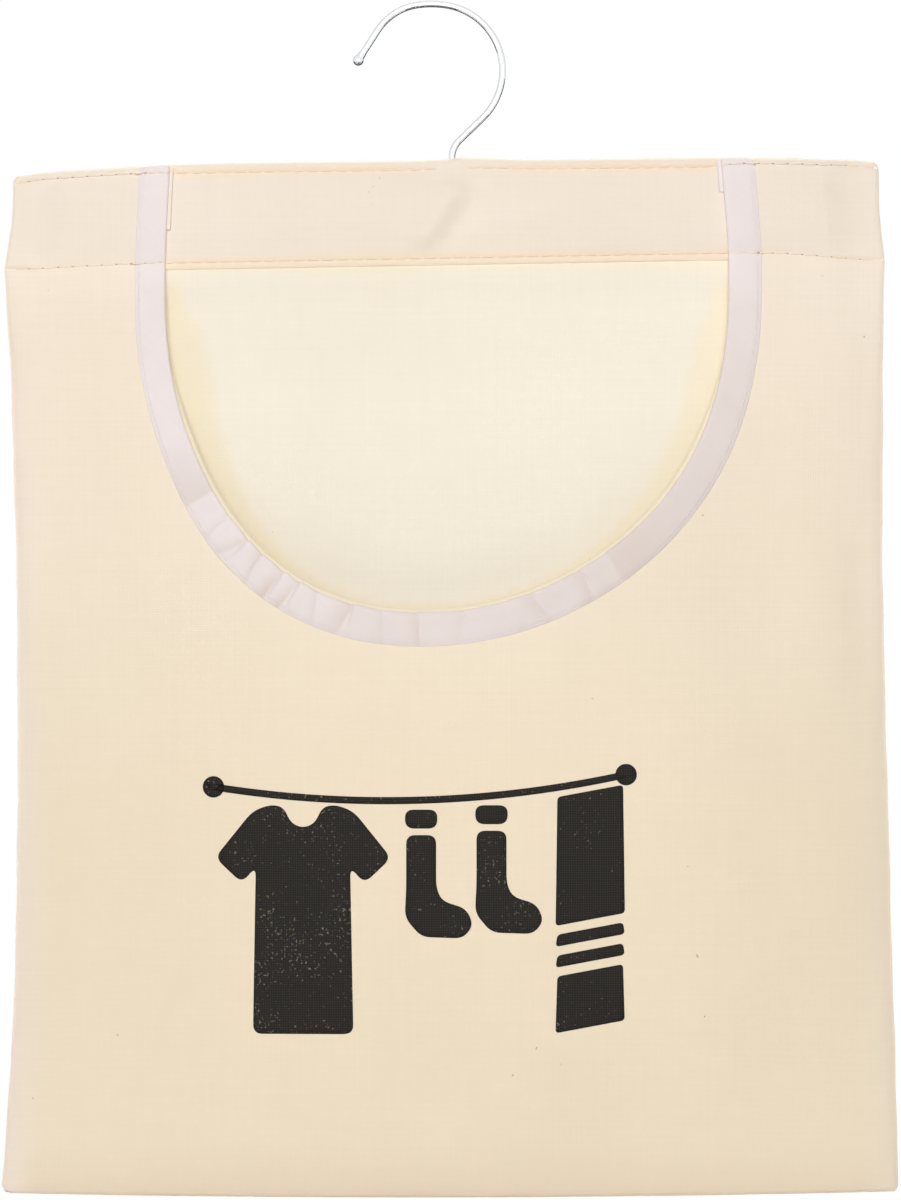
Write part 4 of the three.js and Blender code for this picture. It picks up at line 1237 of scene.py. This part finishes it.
class PEGBAG_OT_header_band(bpy.types.Operator):
    """Makes the band across the header, with its rolled top and its lower edge turned under"""

    bl_idname = "pegbag.header_band"
    bl_label = "Header band"

    def row_shade_share(self, x, z):
        """1 on the stitched rows, where the doubled cloth is sewn and a warm painted shade lies in the
        grooves, fading to 0 beside them.
        """
        lower, upper = (near(z - row(x), ROW_SHADE_REACH) for row in (lower_row, upper_row))
        return np.maximum(lower, upper * ease(np.abs(x), SHANK_FREE, 3 * SHANK_FREE))

    def execute(self, context):
        shape = BagShape(context)
        width = shape.sizes.tape_width
        x = np.linspace(left_edge(Z_ROW) + BAND_END, right_edge(Z_ROW) - BAND_END, 270)
        straps = [(strap_inner(Z_TOP, side), side) for side in (-1, 1)]
        under_left, under_right = (ease(x, inner, inner + side * width) for inner, side in straps)
        lowered = BAND_LOWERED * np.maximum(under_left, under_right)
        edge = np.full_like(x, Z_BAND_EDGE + BAND_TURN)
        # Each row's height on the band, and how far behind and below that it lies in the turned hem
        rows = []
        for level in header_rows(shape, BAND_ROLL):
            rows.append((level - lowered * ease(level, Z_BAR_TOP, Z_TOP), 0, 0))
        for angle in np.radians([0, 15, 30, 45, 60, 75, 90, 120, 150, 180]):
            rows.append((edge, HEM_RADIUS * (1 - math.cos(angle)), BAND_TURN * math.sin(angle)))
        for level in np.linspace(edge, Z_ROW + HEM_OVER_ROW, 9)[1:]:
            rows.append((level, 2 * HEM_RADIUS, 0))
        points = [shape.place(x, shape.band(x, z) + behind, z - below) for z, behind, below in rows]
        band = add_sheet("header_band_canvas", np.array(points), shape.sizes.canvas_thickness,
                         canvas_of(context, "outside"), "canvas")
        add_values(band, "warm", np.array([self.row_shade_share(x, z) for z, _, _ in rows]))
        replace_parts(band, "header_band")
        return {"FINISHED"}


class PEGBAG_OT_mouth_binding(bpy.types.Operator):
    """Makes the bias tape folded round the mouth's edge, with its creases and its turned-under ends"""

    bl_idname = "pegbag.mouth_binding"
    bl_label = "Mouth binding"

    def crease_place(self, inner, along, x):
        """Length along the mouth's edge at which a crease lies."""
        round_part = inner[:, 1] < Z_SPRING - CREASE_DROP
        return along[np.argmin(np.where(round_part, np.abs(inner[:, 0] - x * MM), 1))]

    def shade(self, inner, offsets, tape_width):
        """Shade on the tape: darker towards each crease, round the bottom of the mouth and on its right."""
        along = run_along(inner)
        depth = (Z_SPRING - inner[:, 1]) / MOUTH_ROUND
        base = sum(
            dark * ease(depth, *depths) * ease(inner[:, 0], *places) for dark, depths, places in TAPE_SHADES)
        shade = np.repeat(base[:, None], len(offsets), 1)
        across = offsets[None] / tape_width
        for k, (x, _, dark, reach) in enumerate(TAPE_CREASES):
            slant = CREASE_SLANT * math.sin(2.4 * k) * offsets[None]
            away = (along[:, None] - self.crease_place(inner, along, x) - slant) * np.sign(reach)
            ramp = np.clip(1 + away / (abs(reach) * MM), 0, 1) ** 1.5
            uneven = 0.75 + 0.25 * np.cos(math.pi * (across - 0.5 - 0.5 * math.sin(1.7 * k)))
            shade = shade + dark * uneven * ramp * ease(away, CREASE_STEP, -CREASE_STEP)
        return np.clip(shade, 0, 1)

    def puff(self, inner, offsets, tape_width):
        """Height of the tape between its creases, most at the mouth's edge and none at its stitches."""
        along = run_along(inner)
        pressed = np.zeros(len(inner))
        creased = np.zeros(len(inner))
        for x, share, _, _ in TAPE_CREASES:
            away = along - self.crease_place(inner, along, x)
            width = np.where(away < 0, CREASE_SLOPE, CREASE_STEP)
            pressed = np.maximum(pressed, share * near(away, width))
            creased = np.maximum(creased, share * near(away, CREASED_REACH))
        short, long = PUFF_WAVES
        swell = 0.8 + 0.2 * np.sin(along / short) * np.sin(along / long + 1)
        height = (TAPE_PUFF + CREASED_PUFF * creased) * swell * (1 - 0.85 * pressed)
        return height[:, None] * (1 - (offsets / tape_width) ** 2)

    def tape(self, shape, material):
        """The tape: its front leaf, its turn round the mouth's edge and its back leaf."""
        sizes = shape.sizes
        width = sizes.tape_width
        inner, normal, _ = mouth_stations(shape, side_count=230, base_count=260)
        share = tape_share(inner)
        normal = normal * share
        lift = shape.half_canvas + sizes.tape_thickness / 2 + TAPE_GAP
        inside = width - TAPE_PRESSED_STRIP
        offsets = np.concatenate([width - np.array(TAPE_EDGE_ROWS) * MM, np.linspace(inside, 0, 9)])
        # The outer edge is pressed into the canvas
        height = self.puff(inner, offsets, width) - TAPE_PRESSED * ease(offsets, inside, width)
        leaf = inner[:, None] + normal[:, None] * offsets[None, :, None]
        # The ends stop level with the header's top edge
        x, z = leaf[..., 0], leaf[..., 1] - lift * ease(leaf[..., 1], Z_UPPER_ROW, Z_TOP)
        face = np.stack([x, shape.front(x, z), z], -1)
        out = shape.outward(shape.front, x, z)
        front = face + out * (lift + height)[..., None]
        into_mouth = np.stack([-normal[:, 0], np.zeros(len(normal)), -normal[:, 1]], -1) / share
        wrap = []
        for angle in np.radians([22, 45, 67, 90, 113, 135, 158]):
            across = out[:, -1] * math.cos(angle) + into_mouth * math.sin(angle)
            reach = lift + height[:, -1:] * (1 + math.cos(angle)) / 2
            wrap.append(face[:, -1] + across * reach)
        back = (face - out * lift)[:, ::-1]
        section = np.concatenate([front, np.stack(wrap, 1), back[:, :-1]], 1)
        points = shape.place(*np.moveaxis(section, -1, 0))
        binding = add_sheet("mouth_binding_tape", points, sizes.tape_thickness, material, "tape")
        shade = self.shade(inner, offsets, width)
        inner_edge = np.repeat(shade[:, -1:], points.shape[1] - len(offsets), 1)
        add_values(binding, "shade", np.concatenate([shade, inner_edge], 1))
        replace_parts(binding, "mouth_binding")
        return binding

    def facing(self, context, shape):
        """A narrow canvas facing behind the tape, which shows past the round of the mouth."""
        inner, normal, _ = mouth_stations(shape)
        below = inner[:, 1] < Z_BAND_EDGE - FACING_START
        inner, normal = inner[below], normal[below]
        shown = FACING_SHOWN * ease(inner[:, 1], Z_SPRING, Z_SPRING - FACING_EASE)
        offsets = FACING_UNDER - (FACING_UNDER + shown[:, None]) * np.linspace(0, 1, 7)[None]
        places = inner[:, None] + normal[:, None] * offsets[..., None]
        x, z = places[..., 0], places[..., 1]
        # Past the mouth's edge the facing keeps the depth that the front panel has just outside it
        edge = inner + normal * 0.01 * MM
        depth = np.where(offsets > 0, shape.front(x, z), shape.front(edge[:, :1], edge[:, 1:]))
        behind = FACING_BEHIND * ease(z - Z_BAND_EDGE, *FACING_GOES_BEHIND) + FACING_LAYER
        points = shape.place(x, np.minimum(depth + behind, shape.back(x, z) - FACING_LAYER), z)
        return add_sheet("mouth_facing", points, FACING_THICKNESS, canvas_of(context, "facing"), "canvas")

    def tape_end(self, name, shape, material, side, reach, low):
        """A turned-under end of the tape that shows past the strap."""
        share = np.linspace(-TAPE_END_UNDER, 1, 9)[None]
        z = np.linspace(Z_TOP - TAPE_END_DROP, low, 24)[:, None]
        x = strap_inner(z, side) - side * reach * share
        z = np.broadcast_to(z, x.shape)
        depth = shape.band(x, z) - TAPE_END_LIFT + rolled((1 - share) * reach, TAPE_END_ROLL)
        return add_sheet(name, shape.place(x, depth, z), TAPE_END_THICKNESS, material, "tape")

    def execute(self, context):
        shape = BagShape(context)
        material = tape_material(*tones(context, "tape", "tape_shade", "tape_painted_shade"), TAPE_WEAVE)
        binding = self.tape(shape, material)
        ends = [
            self.tape_end("left_tape_end", shape, canvas_of(context, "outside"), -1, *LEFT_TAPE_END),
            self.tape_end("right_tape_end", shape, material, 1, *RIGHT_TAPE_END),
            self.facing(context, shape),
        ]
        return {"FINISHED"}


def on_shoulder(x):
    return (x < LEFT_SHOULDER) | (x > RIGHT_SHOULDER)


def at_row_end(x):
    return (x < left_edge(Z_ROW) + LEFT_CREASE) | (x > right_edge(Z_ROW) - RIGHT_CREASE)


class PEGBAG_OT_stitching(bpy.types.Operator):
    """Sews the two header rows, front and back, and the row along the tape"""

    bl_idname = "pegbag.stitching"
    bl_label = "Stitching"

    def header_front(self, shape, x, z):
        """Depth of the outermost cloth along a header row."""
        sizes = shape.sizes
        depth = shape.band(x, z) - shape.half_canvas
        on_panel = shape.front(x, z) - shape.half_canvas
        on_tape = on_panel - sizes.tape_thickness - STRAP_LIFT
        for side in (-1, 1):
            past_edge = (x - strap_inner(z, side)) * side
            depth = np.where(past_edge > -STRAP_BEFORE, on_tape, depth)
            depth = np.where(past_edge > sizes.tape_width + STRAP_PAST, on_panel, depth)
        return depth

    def holes(self, shape, row):
        """Needle holes along a row, without those that the shank's opening leaves out."""
        step = shape.sizes.stitch_length
        first = math.ceil((left_edge(Z_ROW) + ROW_MARGIN) / step)
        last = math.floor((right_edge(Z_ROW) - ROW_MARGIN) / step)
        places = np.arange(first, last + 1) * step
        return places[np.abs(places) > SHANK_FREE / 2] if row == upper_row else places

    def on_row(self, shape, row, front):
        """What gives the surface and the way out at places along a header row."""
        def place_at(x):
            z = row(x)
            depth = self.header_front(shape, x, z) if front else shape.back(x, z) + shape.half_canvas
            out = np.broadcast_to(np.array([0.0, -1.0 if front else 1.0, 0.0]), (*x.shape, 3))
            return shape.place(x, depth, z), out
        return place_at

    def long_ends(self, shape, row):
        """Where the stitches of a header row start and end."""
        places = self.holes(shape, row)
        ends = np.stack([places[:-1] + STITCH_GAP, places[1:] - STITCH_GAP], -1)
        return ends[np.diff(ends)[:, 0] < shape.sizes.stitch_length]

    def sewn(self, shape, row, ends, front=True):
        """Stitches of a header row, on one side of the bag."""
        thread = shape.sizes.thread_diameter
        return stitches(self.on_row(shape, row, front), ends, thread / 2, thread * STITCH_RISE)

    def needle_holes(self, shape, row):
        """Short turns of thread in painted shade, dark where the stitches go down on the shoulders and the
        tape.
        """
        places = self.holes(shape, row)
        places = places[on_shoulder(places)]
        ends = np.stack([places - HOLE_HALF, places + HOLE_HALF], -1)
        return stitches(self.on_row(shape, row, True), ends, HOLE_THREAD, HOLE_RISE, steps=5)

    def along_tape(self, shape):
        """Fine stitches along the tape's outer edge, below the header."""
        sizes = shape.sizes
        inner, normal, _ = mouth_stations(shape)
        below = inner[:, 1] < Z_ROW - TAPE_ROW_START
        inner, normal = inner[below], normal[below]
        path = inner + normal * tape_share(inner) * (sizes.tape_width - TAPE_ROW)
        run = run_along(path)
        step = sizes.tape_stitch_length
        starts = np.arange(0, run[-1] - step, step)
        ends = np.stack([starts + TAPE_STITCH_GAP, starts + step - TAPE_STITCH_GAP], -1)
        lift = shape.half_canvas + sizes.tape_thickness - TAPE_ROW_SUNK

        def place_at(s):
            x = np.interp(s, run, path[:, 0])
            z = np.interp(s, run, path[:, 1])
            return shape.raised(shape.front, x, z, lift), shape.outward(shape.front, x, z)

        return stitches(place_at, ends, TAPE_THREAD, TAPE_THREAD_RISE, steps=7)

    def execute(self, context):
        shape = BagShape(context)
        thread = thread_of(context)
        tonal = thread_of(context, "Unbleached sewing thread", "canvas")
        hole = thread_of(context, "Sewing thread in shade", "needle_hole")
        white = thread_of(context, "Bleached sewing thread", "tape")
        for name, row, node in (("upper_row", upper_row, "upper_row_stitching"),
                                ("lower_row", lower_row, "lower_row_stitching")):
            ends = self.long_ends(shape, row)
            # The row shows as a line of thread between the straps and at its back-stitched ends
            shown = ~on_shoulder(ends.mean(1)) | at_row_end(ends.mean(1))
            middle = self.sewn(shape, row, ends[shown])
            shoulders = self.sewn(shape, row, ends[~shown])
            behind = self.sewn(shape, row, ends, front=False)
            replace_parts(add_object(f"{name}_stitches", *middle, thread, "bag", "thread"), node)
            add_object(f"{name}_shoulder_stitches", *shoulders, tonal, "bag", "thread")
            add_object(f"{name}_back_stitches", *behind, tonal, "bag", "thread")
            add_object(f"{name}_needle_holes", *self.needle_holes(shape, row), hole, "bag", "thread")
        piece = add_object("tape_stitches", *self.along_tape(shape), white, "bag", "thread")
        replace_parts(piece, "binding_stitching")
        return {"FINISHED"}


class PEGBAG_OT_seams(bpy.types.Operator):
    """Makes the seam allowances inside the bag, with their overlocked edges"""

    bl_idname = "pegbag.seams"
    bl_label = "Inner seams"

    def depths(self, shape, x, z):
        """Depth of the back panel's inner face, and the thickness that an allowance has room for."""
        rear = shape.back(x, z) - shape.half_canvas - SEAM_BEHIND
        room = rear - (shape.front(x, z) + shape.half_canvas)
        return rear, np.clip(room - SEAM_ROOM, SEAM_LEAST, SEAM_THICKNESS)

    def strip(self, name, node, shape, context, place_at, count):
        """A doubled strip of canvas on the back panel and the overlock thread round its free edge."""
        along = np.linspace(0, 1, count)[:, None]
        across = np.linspace(0, 1, 5)
        x, z = place_at(along, SEAM_INSET + SEAM_WIDTH * across[None])
        rear, thick = self.depths(shape, x, z)
        round_edge = np.sqrt(np.clip(1 - (2 * across - 1) ** 6, 0.05, 1))[None]
        wave = 0.5 + 0.5 * np.sin(along * count * 0.9)
        face = rear - thick * round_edge * (0.85 + 0.15 * wave)
        x, y, z = (np.concatenate([a, b[:, ::-1]], 1) for a, b in ((x, x), (face, rear), (z, z)))
        points = shape.place(x, y, z)
        faces = ring_faces(*points.shape[:2])
        # The faces look out of the strip
        ring, after = points[count // 2:count // 2 + 2]
        if np.cross(ring[1] - ring[0], after[0] - ring[0]).dot(ring[2] - ring[7]) < 0:
            faces = [f[::-1] for f in faces]
        piece = add_object(name, points, faces, canvas_of(context, "inside"), "bag", "canvas")
        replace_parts(piece, node)
        steps = count * 12
        zig = 0.5 + 0.5 * np.cos(np.arange(steps) * math.pi / 2)
        x, z = place_at(np.linspace(0.01, 0.99, steps), SEAM_INSET + SEAM_WIDTH * (0.55 + 0.42 * zig))
        rear, thick = self.depths(shape, x, z)
        path = shape.place(x, rear - thick - OVERLOCK_LIFT, z)[None]
        out = np.broadcast_to(np.array([0.0, -1.0, 0.0]), path.shape)
        thread = tube_mesh(path, out, OVERLOCK_THREAD, sides=6)
        add_object(f"{name}_overlock", *thread, thread_of(context), "bag", "thread")

    def execute(self, context):
        shape = BagShape(context)

        def on_side(sign):
            def place_at(along, inset):
                z = SEAM_TOP + (SEAM_LOW - SEAM_TOP) * along + 0 * inset
                return EDGES[sign](z) - sign * inset, z
            return place_at

        def on_base(along, inset):
            span = BOTTOM_LEFT + BOTTOM_RIGHT - 2 * SEAM_END
            x = SEAM_END - BOTTOM_LEFT + span * along + 0 * inset
            return x, bottom_edge(x) + inset

        self.strip("left_seam_allowance", "left_side_seam", shape, context, on_side(-1), 90)
        self.strip("right_seam_allowance", "right_side_seam", shape, context, on_side(1), 90)
        self.strip("bottom_seam_allowance", "bottom_seam", shape, context, on_base, 80)
        return {"FINISHED"}


class PEGBAG_OT_print(bpy.types.Operator):
    """Prints a generic washing line with a shirt, socks and a striped towel on the front panel"""

    bl_idname = "pegbag.print"
    bl_label = "Print"

    def line_height(self, u):
        return LINE_HEIGHT + LINE_TILT * u - LINE_SAG * (1 - (u / LINE_HALF) ** 2)

    def rounded(self, outline, radius):
        """An outline whose corners are curves that start that far from each corner."""
        corners = np.array(outline, float)
        t = np.linspace(0, 1, 7)[:, None]
        curves = []
        for before, corner, after in zip(np.roll(corners, 1, 0), corners, np.roll(corners, -1, 0)):
            start, end = (
                (p - corner) * min(radius / np.linalg.norm(p - corner), 0.46) for p in (before, after))
            curves.append(corner + start * (1 - t) ** 2 + end * t ** 2)
        return self.close_points(np.concatenate(curves))

    def close_points(self, outline, spacing=1.5):
        """The same outline with points no further apart than the spacing, so that it follows the cloth."""
        parts = []
        for start, end in zip(outline, np.roll(outline, -1, 0)):
            steps = math.ceil(np.linalg.norm(end - start) / spacing)
            parts.append(start + (end - start) * np.arange(max(steps, 1))[:, None] / max(steps, 1))
        return np.concatenate(parts)

    def motifs(self):
        """Outlines in millimetres about the print's centre."""
        line = self.line_height
        u = np.linspace(-LINE_HALF, LINE_HALF, 60)
        half = LINE_THICKNESS / 2
        rope = np.concatenate([np.stack([u, line(u) + half], -1), np.stack([u, line(u) - half], -1)[::-1]])
        turn = np.linspace(0, 2 * math.pi, 28, endpoint=False)
        ring = KNOT_RADIUS * np.stack([np.cos(turn), np.sin(turn)], -1)
        knots = [ring + (c, line(c)) for c in (-KNOT_PLACE, KNOT_PLACE)]
        half_shirt = [(6.5, 0), (11, 0.8), (17, -1.5), (29.5, -17), (20.5, -25.5), (15.8, -20), (16.8, -76)]
        shirt = half_shirt + [(-a, b) for a, b in half_shirt[::-1]] + [(-4, -5.4), (0, -7), (4, -5.4)]
        shirt = self.rounded(shirt, 3.2) + (-39, line(-39) - HUNG_BELOW)
        leg = [(0, -8.5), (10, -8.5), (10, -26), (12, -30.5), (20, -33), (22.5, -38.5), (19, -43),
               (5, -42.5), (-0.5, -36), (0, -26)]
        cuff = [(-0.5, 0), (10.5, 0), (10.3, -6.3), (-0.3, -6.3)]
        hung = [(c, line(c + 5) - HUNG_BELOW) for c in (-4.5, 19)]
        socks = [self.rounded(part, 3) + place for place in hung for part in (cuff, leg)]
        towel = []
        for high, low in ((0, 43), (46, 50), (53, 57), (60, 79)):
            corners = [(46, high), (68, high), (68.6, low), (45.4, low)]
            towel.append(self.rounded([(a, line(a) - HUNG_BELOW - drop) for a, drop in corners], 1.4))
        return [rope, *knots, shirt, *socks, *towel]

    def filled(self, outline, spacing):
        """Triangles inside an outline, with points spread over it so that they follow the cloth."""
        low, high = outline.min(0), outline.max(0)
        u, v = (np.arange(start, end, spacing) for start, end in zip(low, high))
        inside = np.stack(np.meshgrid(u, v), -1).reshape(-1, 2)
        points = [Vector(p) for p in np.concatenate([outline, inside])]
        count = len(outline)
        loop = [(k, (k + 1) % count) for k in range(count)]
        vertices, _, faces = delaunay_2d_cdt(points, loop, [], 1, 1e-5)[:3]
        return np.array([tuple(v) for v in vertices]), faces

    def execute(self, context):
        shape = BagShape(context)
        scale = shape.sizes.print_width / PRINT_DRAWN_WIDTH
        vertices, faces = [], []
        for outline in self.motifs():
            drawn, triangles = self.filled(outline, PRINT_SPACING)
            x = PRINT_CENTRE[0] + drawn[:, 0] * scale
            z = PRINT_CENTRE[1] + drawn[:, 1] * scale
            start = sum(len(v) for v in vertices)
            vertices.append(shape.raised(shape.front, x, z, shape.half_canvas + INK_LIFT))
            faces += [[start + i for i in face] for face in triangles]
        points = np.concatenate(vertices)
        a, b, c = (points[i] for i in faces[0][:3])
        if np.cross(b - a, c - a)[1] > 0:
            faces = [face[::-1] for face in faces]
        ink = ink_material(*tones(context, "ink", "canvas_shade"), shape.sizes.weave_pitch)
        piece = add_object("washing_line_print", points, faces, ink, "bag")
        piece.modifiers.new("Ink thickness", "SOLIDIFY").thickness = INK_THICKNESS
        return {"FINISHED"}


class PEGBAG_OT_hook(bpy.types.Operator):
    """Bends the chromed wire hook and rolls the ball at its tip"""

    bl_idname = "pegbag.hook"
    bl_label = "Hook"

    def centreline(self, wire):
        """The wire's middle along X and Z, from the shank's end to the ball, and the ball's step count."""
        def arc(cx, cz, radius, start, end, steps):
            angle = np.linspace(start, end, steps)
            return np.stack([cx + radius * np.cos(angle), cz + radius * np.sin(angle)], -1)

        bow_x = -BOW_OFFSET
        bow_z = -math.sqrt((BOW_RADIUS - wire / 2) ** 2 - BOW_OFFSET ** 2)
        bow = arc(bow_x, bow_z, BOW_RADIUS, NECK - math.pi / 2, BOW_END, 110)
        shift = BOW_RADIUS - CREST_RADIUS
        crest_x, crest_z = bow_x + shift * math.cos(BOW_END), bow_z + shift * math.sin(BOW_END)
        crest = arc(crest_x, crest_z, CREST_RADIUS, BOW_END, CREST_END, 18)
        shift = CREST_RADIUS - TIP_RADIUS
        tip_arc = arc(crest_x + shift * math.cos(CREST_END), crest_z + shift * math.sin(CREST_END),
                      TIP_RADIUS, CREST_END, TIP_END, 30)
        bend_x = NECK_BEND * (1 - math.sin(NECK))
        neck_length = (bow[0][0] - bend_x) / math.cos(NECK)
        bend_low = bow[0][1] - neck_length * math.sin(NECK) - NECK_BEND * math.cos(NECK)
        bend = arc(NECK_BEND, bend_low, NECK_BEND, math.pi, math.pi / 2 + NECK, 14)
        shank = np.stack([np.zeros(14), np.linspace(Z_SHANK_END, bend_low, 14)], -1)
        neck = bend[-1] + (bow[0] - bend[-1]) * np.linspace(0, 1, 18)[:, None]
        way = np.array([-math.sin(TIP_END), math.cos(TIP_END)])
        tip_end = tip_arc[-1] + way * TIP_LENGTH
        straight = tip_arc[-1] + (tip_end - tip_arc[-1]) * np.linspace(0, STRAIGHT_SHARE, 8)[:, None]
        ball = tip_end + way * (BALL_RADIUS * np.sin(np.linspace(BALL_START, math.pi / 2, 14)))[:, None]
        runs = [shank, bend[1:], neck[1:], bow[1:], crest[1:], tip_arc[1:], straight[1:], ball]
        return np.concatenate(runs), len(ball)

    def execute(self, context):
        wire = context.scene.peg_bag_sizes.wire_diameter
        path, ball_steps = self.centreline(wire)
        radii = np.full(len(path), wire / 2)
        turn = np.linspace(BALL_START, math.pi / 2, ball_steps)
        radii[-ball_steps:] = np.maximum(BALL_RADIUS * np.cos(turn), BALL_LEAST)
        radii[:3] = wire / 2 * np.array(SHANK_END_SHARES)
        points = np.stack([path[:, 0], np.zeros(len(path)), path[:, 1]], -1)[None]
        out = np.broadcast_to(np.array([0.0, -1.0, 0.0]), points.shape)
        chrome = chrome_material(*tones(context, "chrome"))
        tube = tube_mesh(points, out, radii, sides=24)
        piece = add_object("hook_chrome_wire", *tube, chrome, "hook", "chrome")
        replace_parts(piece, "hook_wire")
        return {"FINISHED"}


class PEGBAG_OT_fittings(bpy.types.Operator):
    """Gives the bar, collar, washer and nut inside the header their wood and metal"""

    bl_idname = "pegbag.fittings"
    bl_label = "Bar and fittings"

    def execute(self, context):
        beech = beech_material(*tones(context, "beech", "beech_grain"))
        zinc = zinc_material(*tones(context, "zinc", "zinc_shade"))
        finishes = {
            "hanger_bar": beech, "hook_collar": zinc, "retaining_washer": zinc, "retaining_nut": zinc}
        for node, material in finishes.items():
            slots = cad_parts[node].data.materials
            slots.clear()
            slots.append(material)
        return {"FINISHED"}


class PEGBAG_OT_stage(bpy.types.Operator):
    """Sets the pale floor, the soft lights, the white surround and the camera"""

    bl_idname = "pegbag.stage"
    bl_label = "Stage"

    def put(self, name, data, location, aim, axis):
        """An object on the stage with one of its axes towards a point."""
        made = new_object(name, data)
        made.location = location
        made.rotation_euler = (Vector(aim) - Vector(location)).to_track_quat(axis, "Y").to_euler()
        return made

    def panel(self, name, size, location, aim, material):
        """A flat square on the stage, facing a point."""
        half = size / 2
        mesh = bpy.data.meshes.new(name)
        corners = [(-half, -half, 0), (half, -half, 0), (half, half, 0), (-half, half, 0)]
        mesh.from_pydata(corners, [], [(0, 1, 2, 3)])
        mesh.materials.append(material)
        card = self.put(name, mesh, location, aim, "Z")
        return card

    def lamp(self, name, location, aim, size, watts):
        light = bpy.data.lights.new(name, "AREA")
        light.size = size
        light.energy = watts
        return self.put(name, light, location, aim, "-Z")

    def surround(self, scene):
        """White where the camera, metal or glass looks, and a plain grey light for everything else."""
        scene.world = bpy.data.worlds.new("White surround")
        scene.world.use_nodes = True
        tree = scene.world.node_tree
        tree.nodes.clear()
        path = add(tree, "ShaderNodeLightPath")
        seen = path.outputs["Is Camera Ray"]
        for kind in ("Is Glossy Ray", "Is Transmission Ray"):
            seen = add(tree, "ShaderNodeMath", {0: seen, 1: path.outputs[kind]}, operation="ADD").outputs[0]
        light = add(tree, "ShaderNodeBackground", {"Color": linear("FFFFFF"), "Strength": AMBIENT})
        white = add(tree, "ShaderNodeBackground", {"Color": linear("FFFFFF"), "Strength": 1.0})
        both = add(tree, "ShaderNodeMixShader", {0: seen, 1: light.outputs[0], 2: white.outputs[0]})
        add(tree, "ShaderNodeOutputWorld", {"Surface": both.outputs[0]})

    def execute(self, context):
        scene = context.scene
        floor = floor_material(*tones(context, "floor"))
        self.panel("floor", FLOOR_SIZE, (0, 0, FLOOR_HEIGHT), (0, 0, 1), floor)
        for name, lamp in SOFTBOXES.items():
            self.lamp(name, *lamp)
        for name, lamp in RIM_SOFTBOXES.items():
            rim = self.lamp(name, *lamp)
            rim.data.spread = RIM_SPREAD
            rim.visible_glossy = False
        for name, (size, location, aim, shade) in CARDS.items():
            card = self.panel(name, size, location, aim, floor_material(linear(shade)))
            for ray in ("camera", "diffuse", "transmission", "shadow"):
                setattr(card, f"visible_{ray}", False)
        self.surround(scene)
        scene.view_settings.view_transform = "Standard"
        data = bpy.data.cameras.new("Photo view")
        data.sensor_width = SENSOR
        data.lens = SENSOR / 2 / (FRAME_HEIGHT / 2 / CAMERA_DISTANCE)
        camera = new_object("Photo view", data)
        camera.location = (FRAME_CENTRE[0], -CAMERA_DISTANCE, FRAME_CENTRE[1])
        camera.rotation_euler = (math.pi / 2, 0, 0)
        scene.camera = camera
        return {"FINISHED"}


PIECES = (
    PEGBAG_OT_back_panel,
    PEGBAG_OT_front_panel,
    PEGBAG_OT_header_band,
    PEGBAG_OT_mouth_binding,
    PEGBAG_OT_stitching,
    PEGBAG_OT_seams,
    PEGBAG_OT_print,
    PEGBAG_OT_hook,
    PEGBAG_OT_fittings,
    PEGBAG_OT_stage,
)


class PEGBAG_PT_panel(bpy.types.Panel):
    """Lists the bag's pieces and what can be changed"""

    bl_idname = "PEGBAG_PT_panel"
    bl_label = "Peg bag"
    bl_space_type = "VIEW_3D"
    bl_region_type = "UI"
    bl_category = "Peg bag"

    def draw(self, context):
        for group in (context.scene.peg_bag_sizes, context.scene.peg_bag_colours):
            for name in group.__annotations__:
                self.layout.prop(group, name)
        for operator in PIECES:
            self.layout.operator(operator.bl_idname)


CLASSES = (PegBagSizes, PegBagColours, *PIECES, PEGBAG_PT_panel)


def register():
    for made in CLASSES:
        bpy.utils.register_class(made)
    bpy.types.Scene.peg_bag_sizes = bpy.props.PointerProperty(type=PegBagSizes)
    bpy.types.Scene.peg_bag_colours = bpy.props.PointerProperty(type=PegBagColours)


def unregister():
    del bpy.types.Scene.peg_bag_colours
    del bpy.types.Scene.peg_bag_sizes
    for made in reversed(CLASSES):
        bpy.utils.unregister_class(made)


def main():
    register()
    for operator in PIECES:
        group, name = operator.bl_idname.split(".")
        getattr(getattr(bpy.ops, group), name)()


if __name__ == "__main__":
    main()
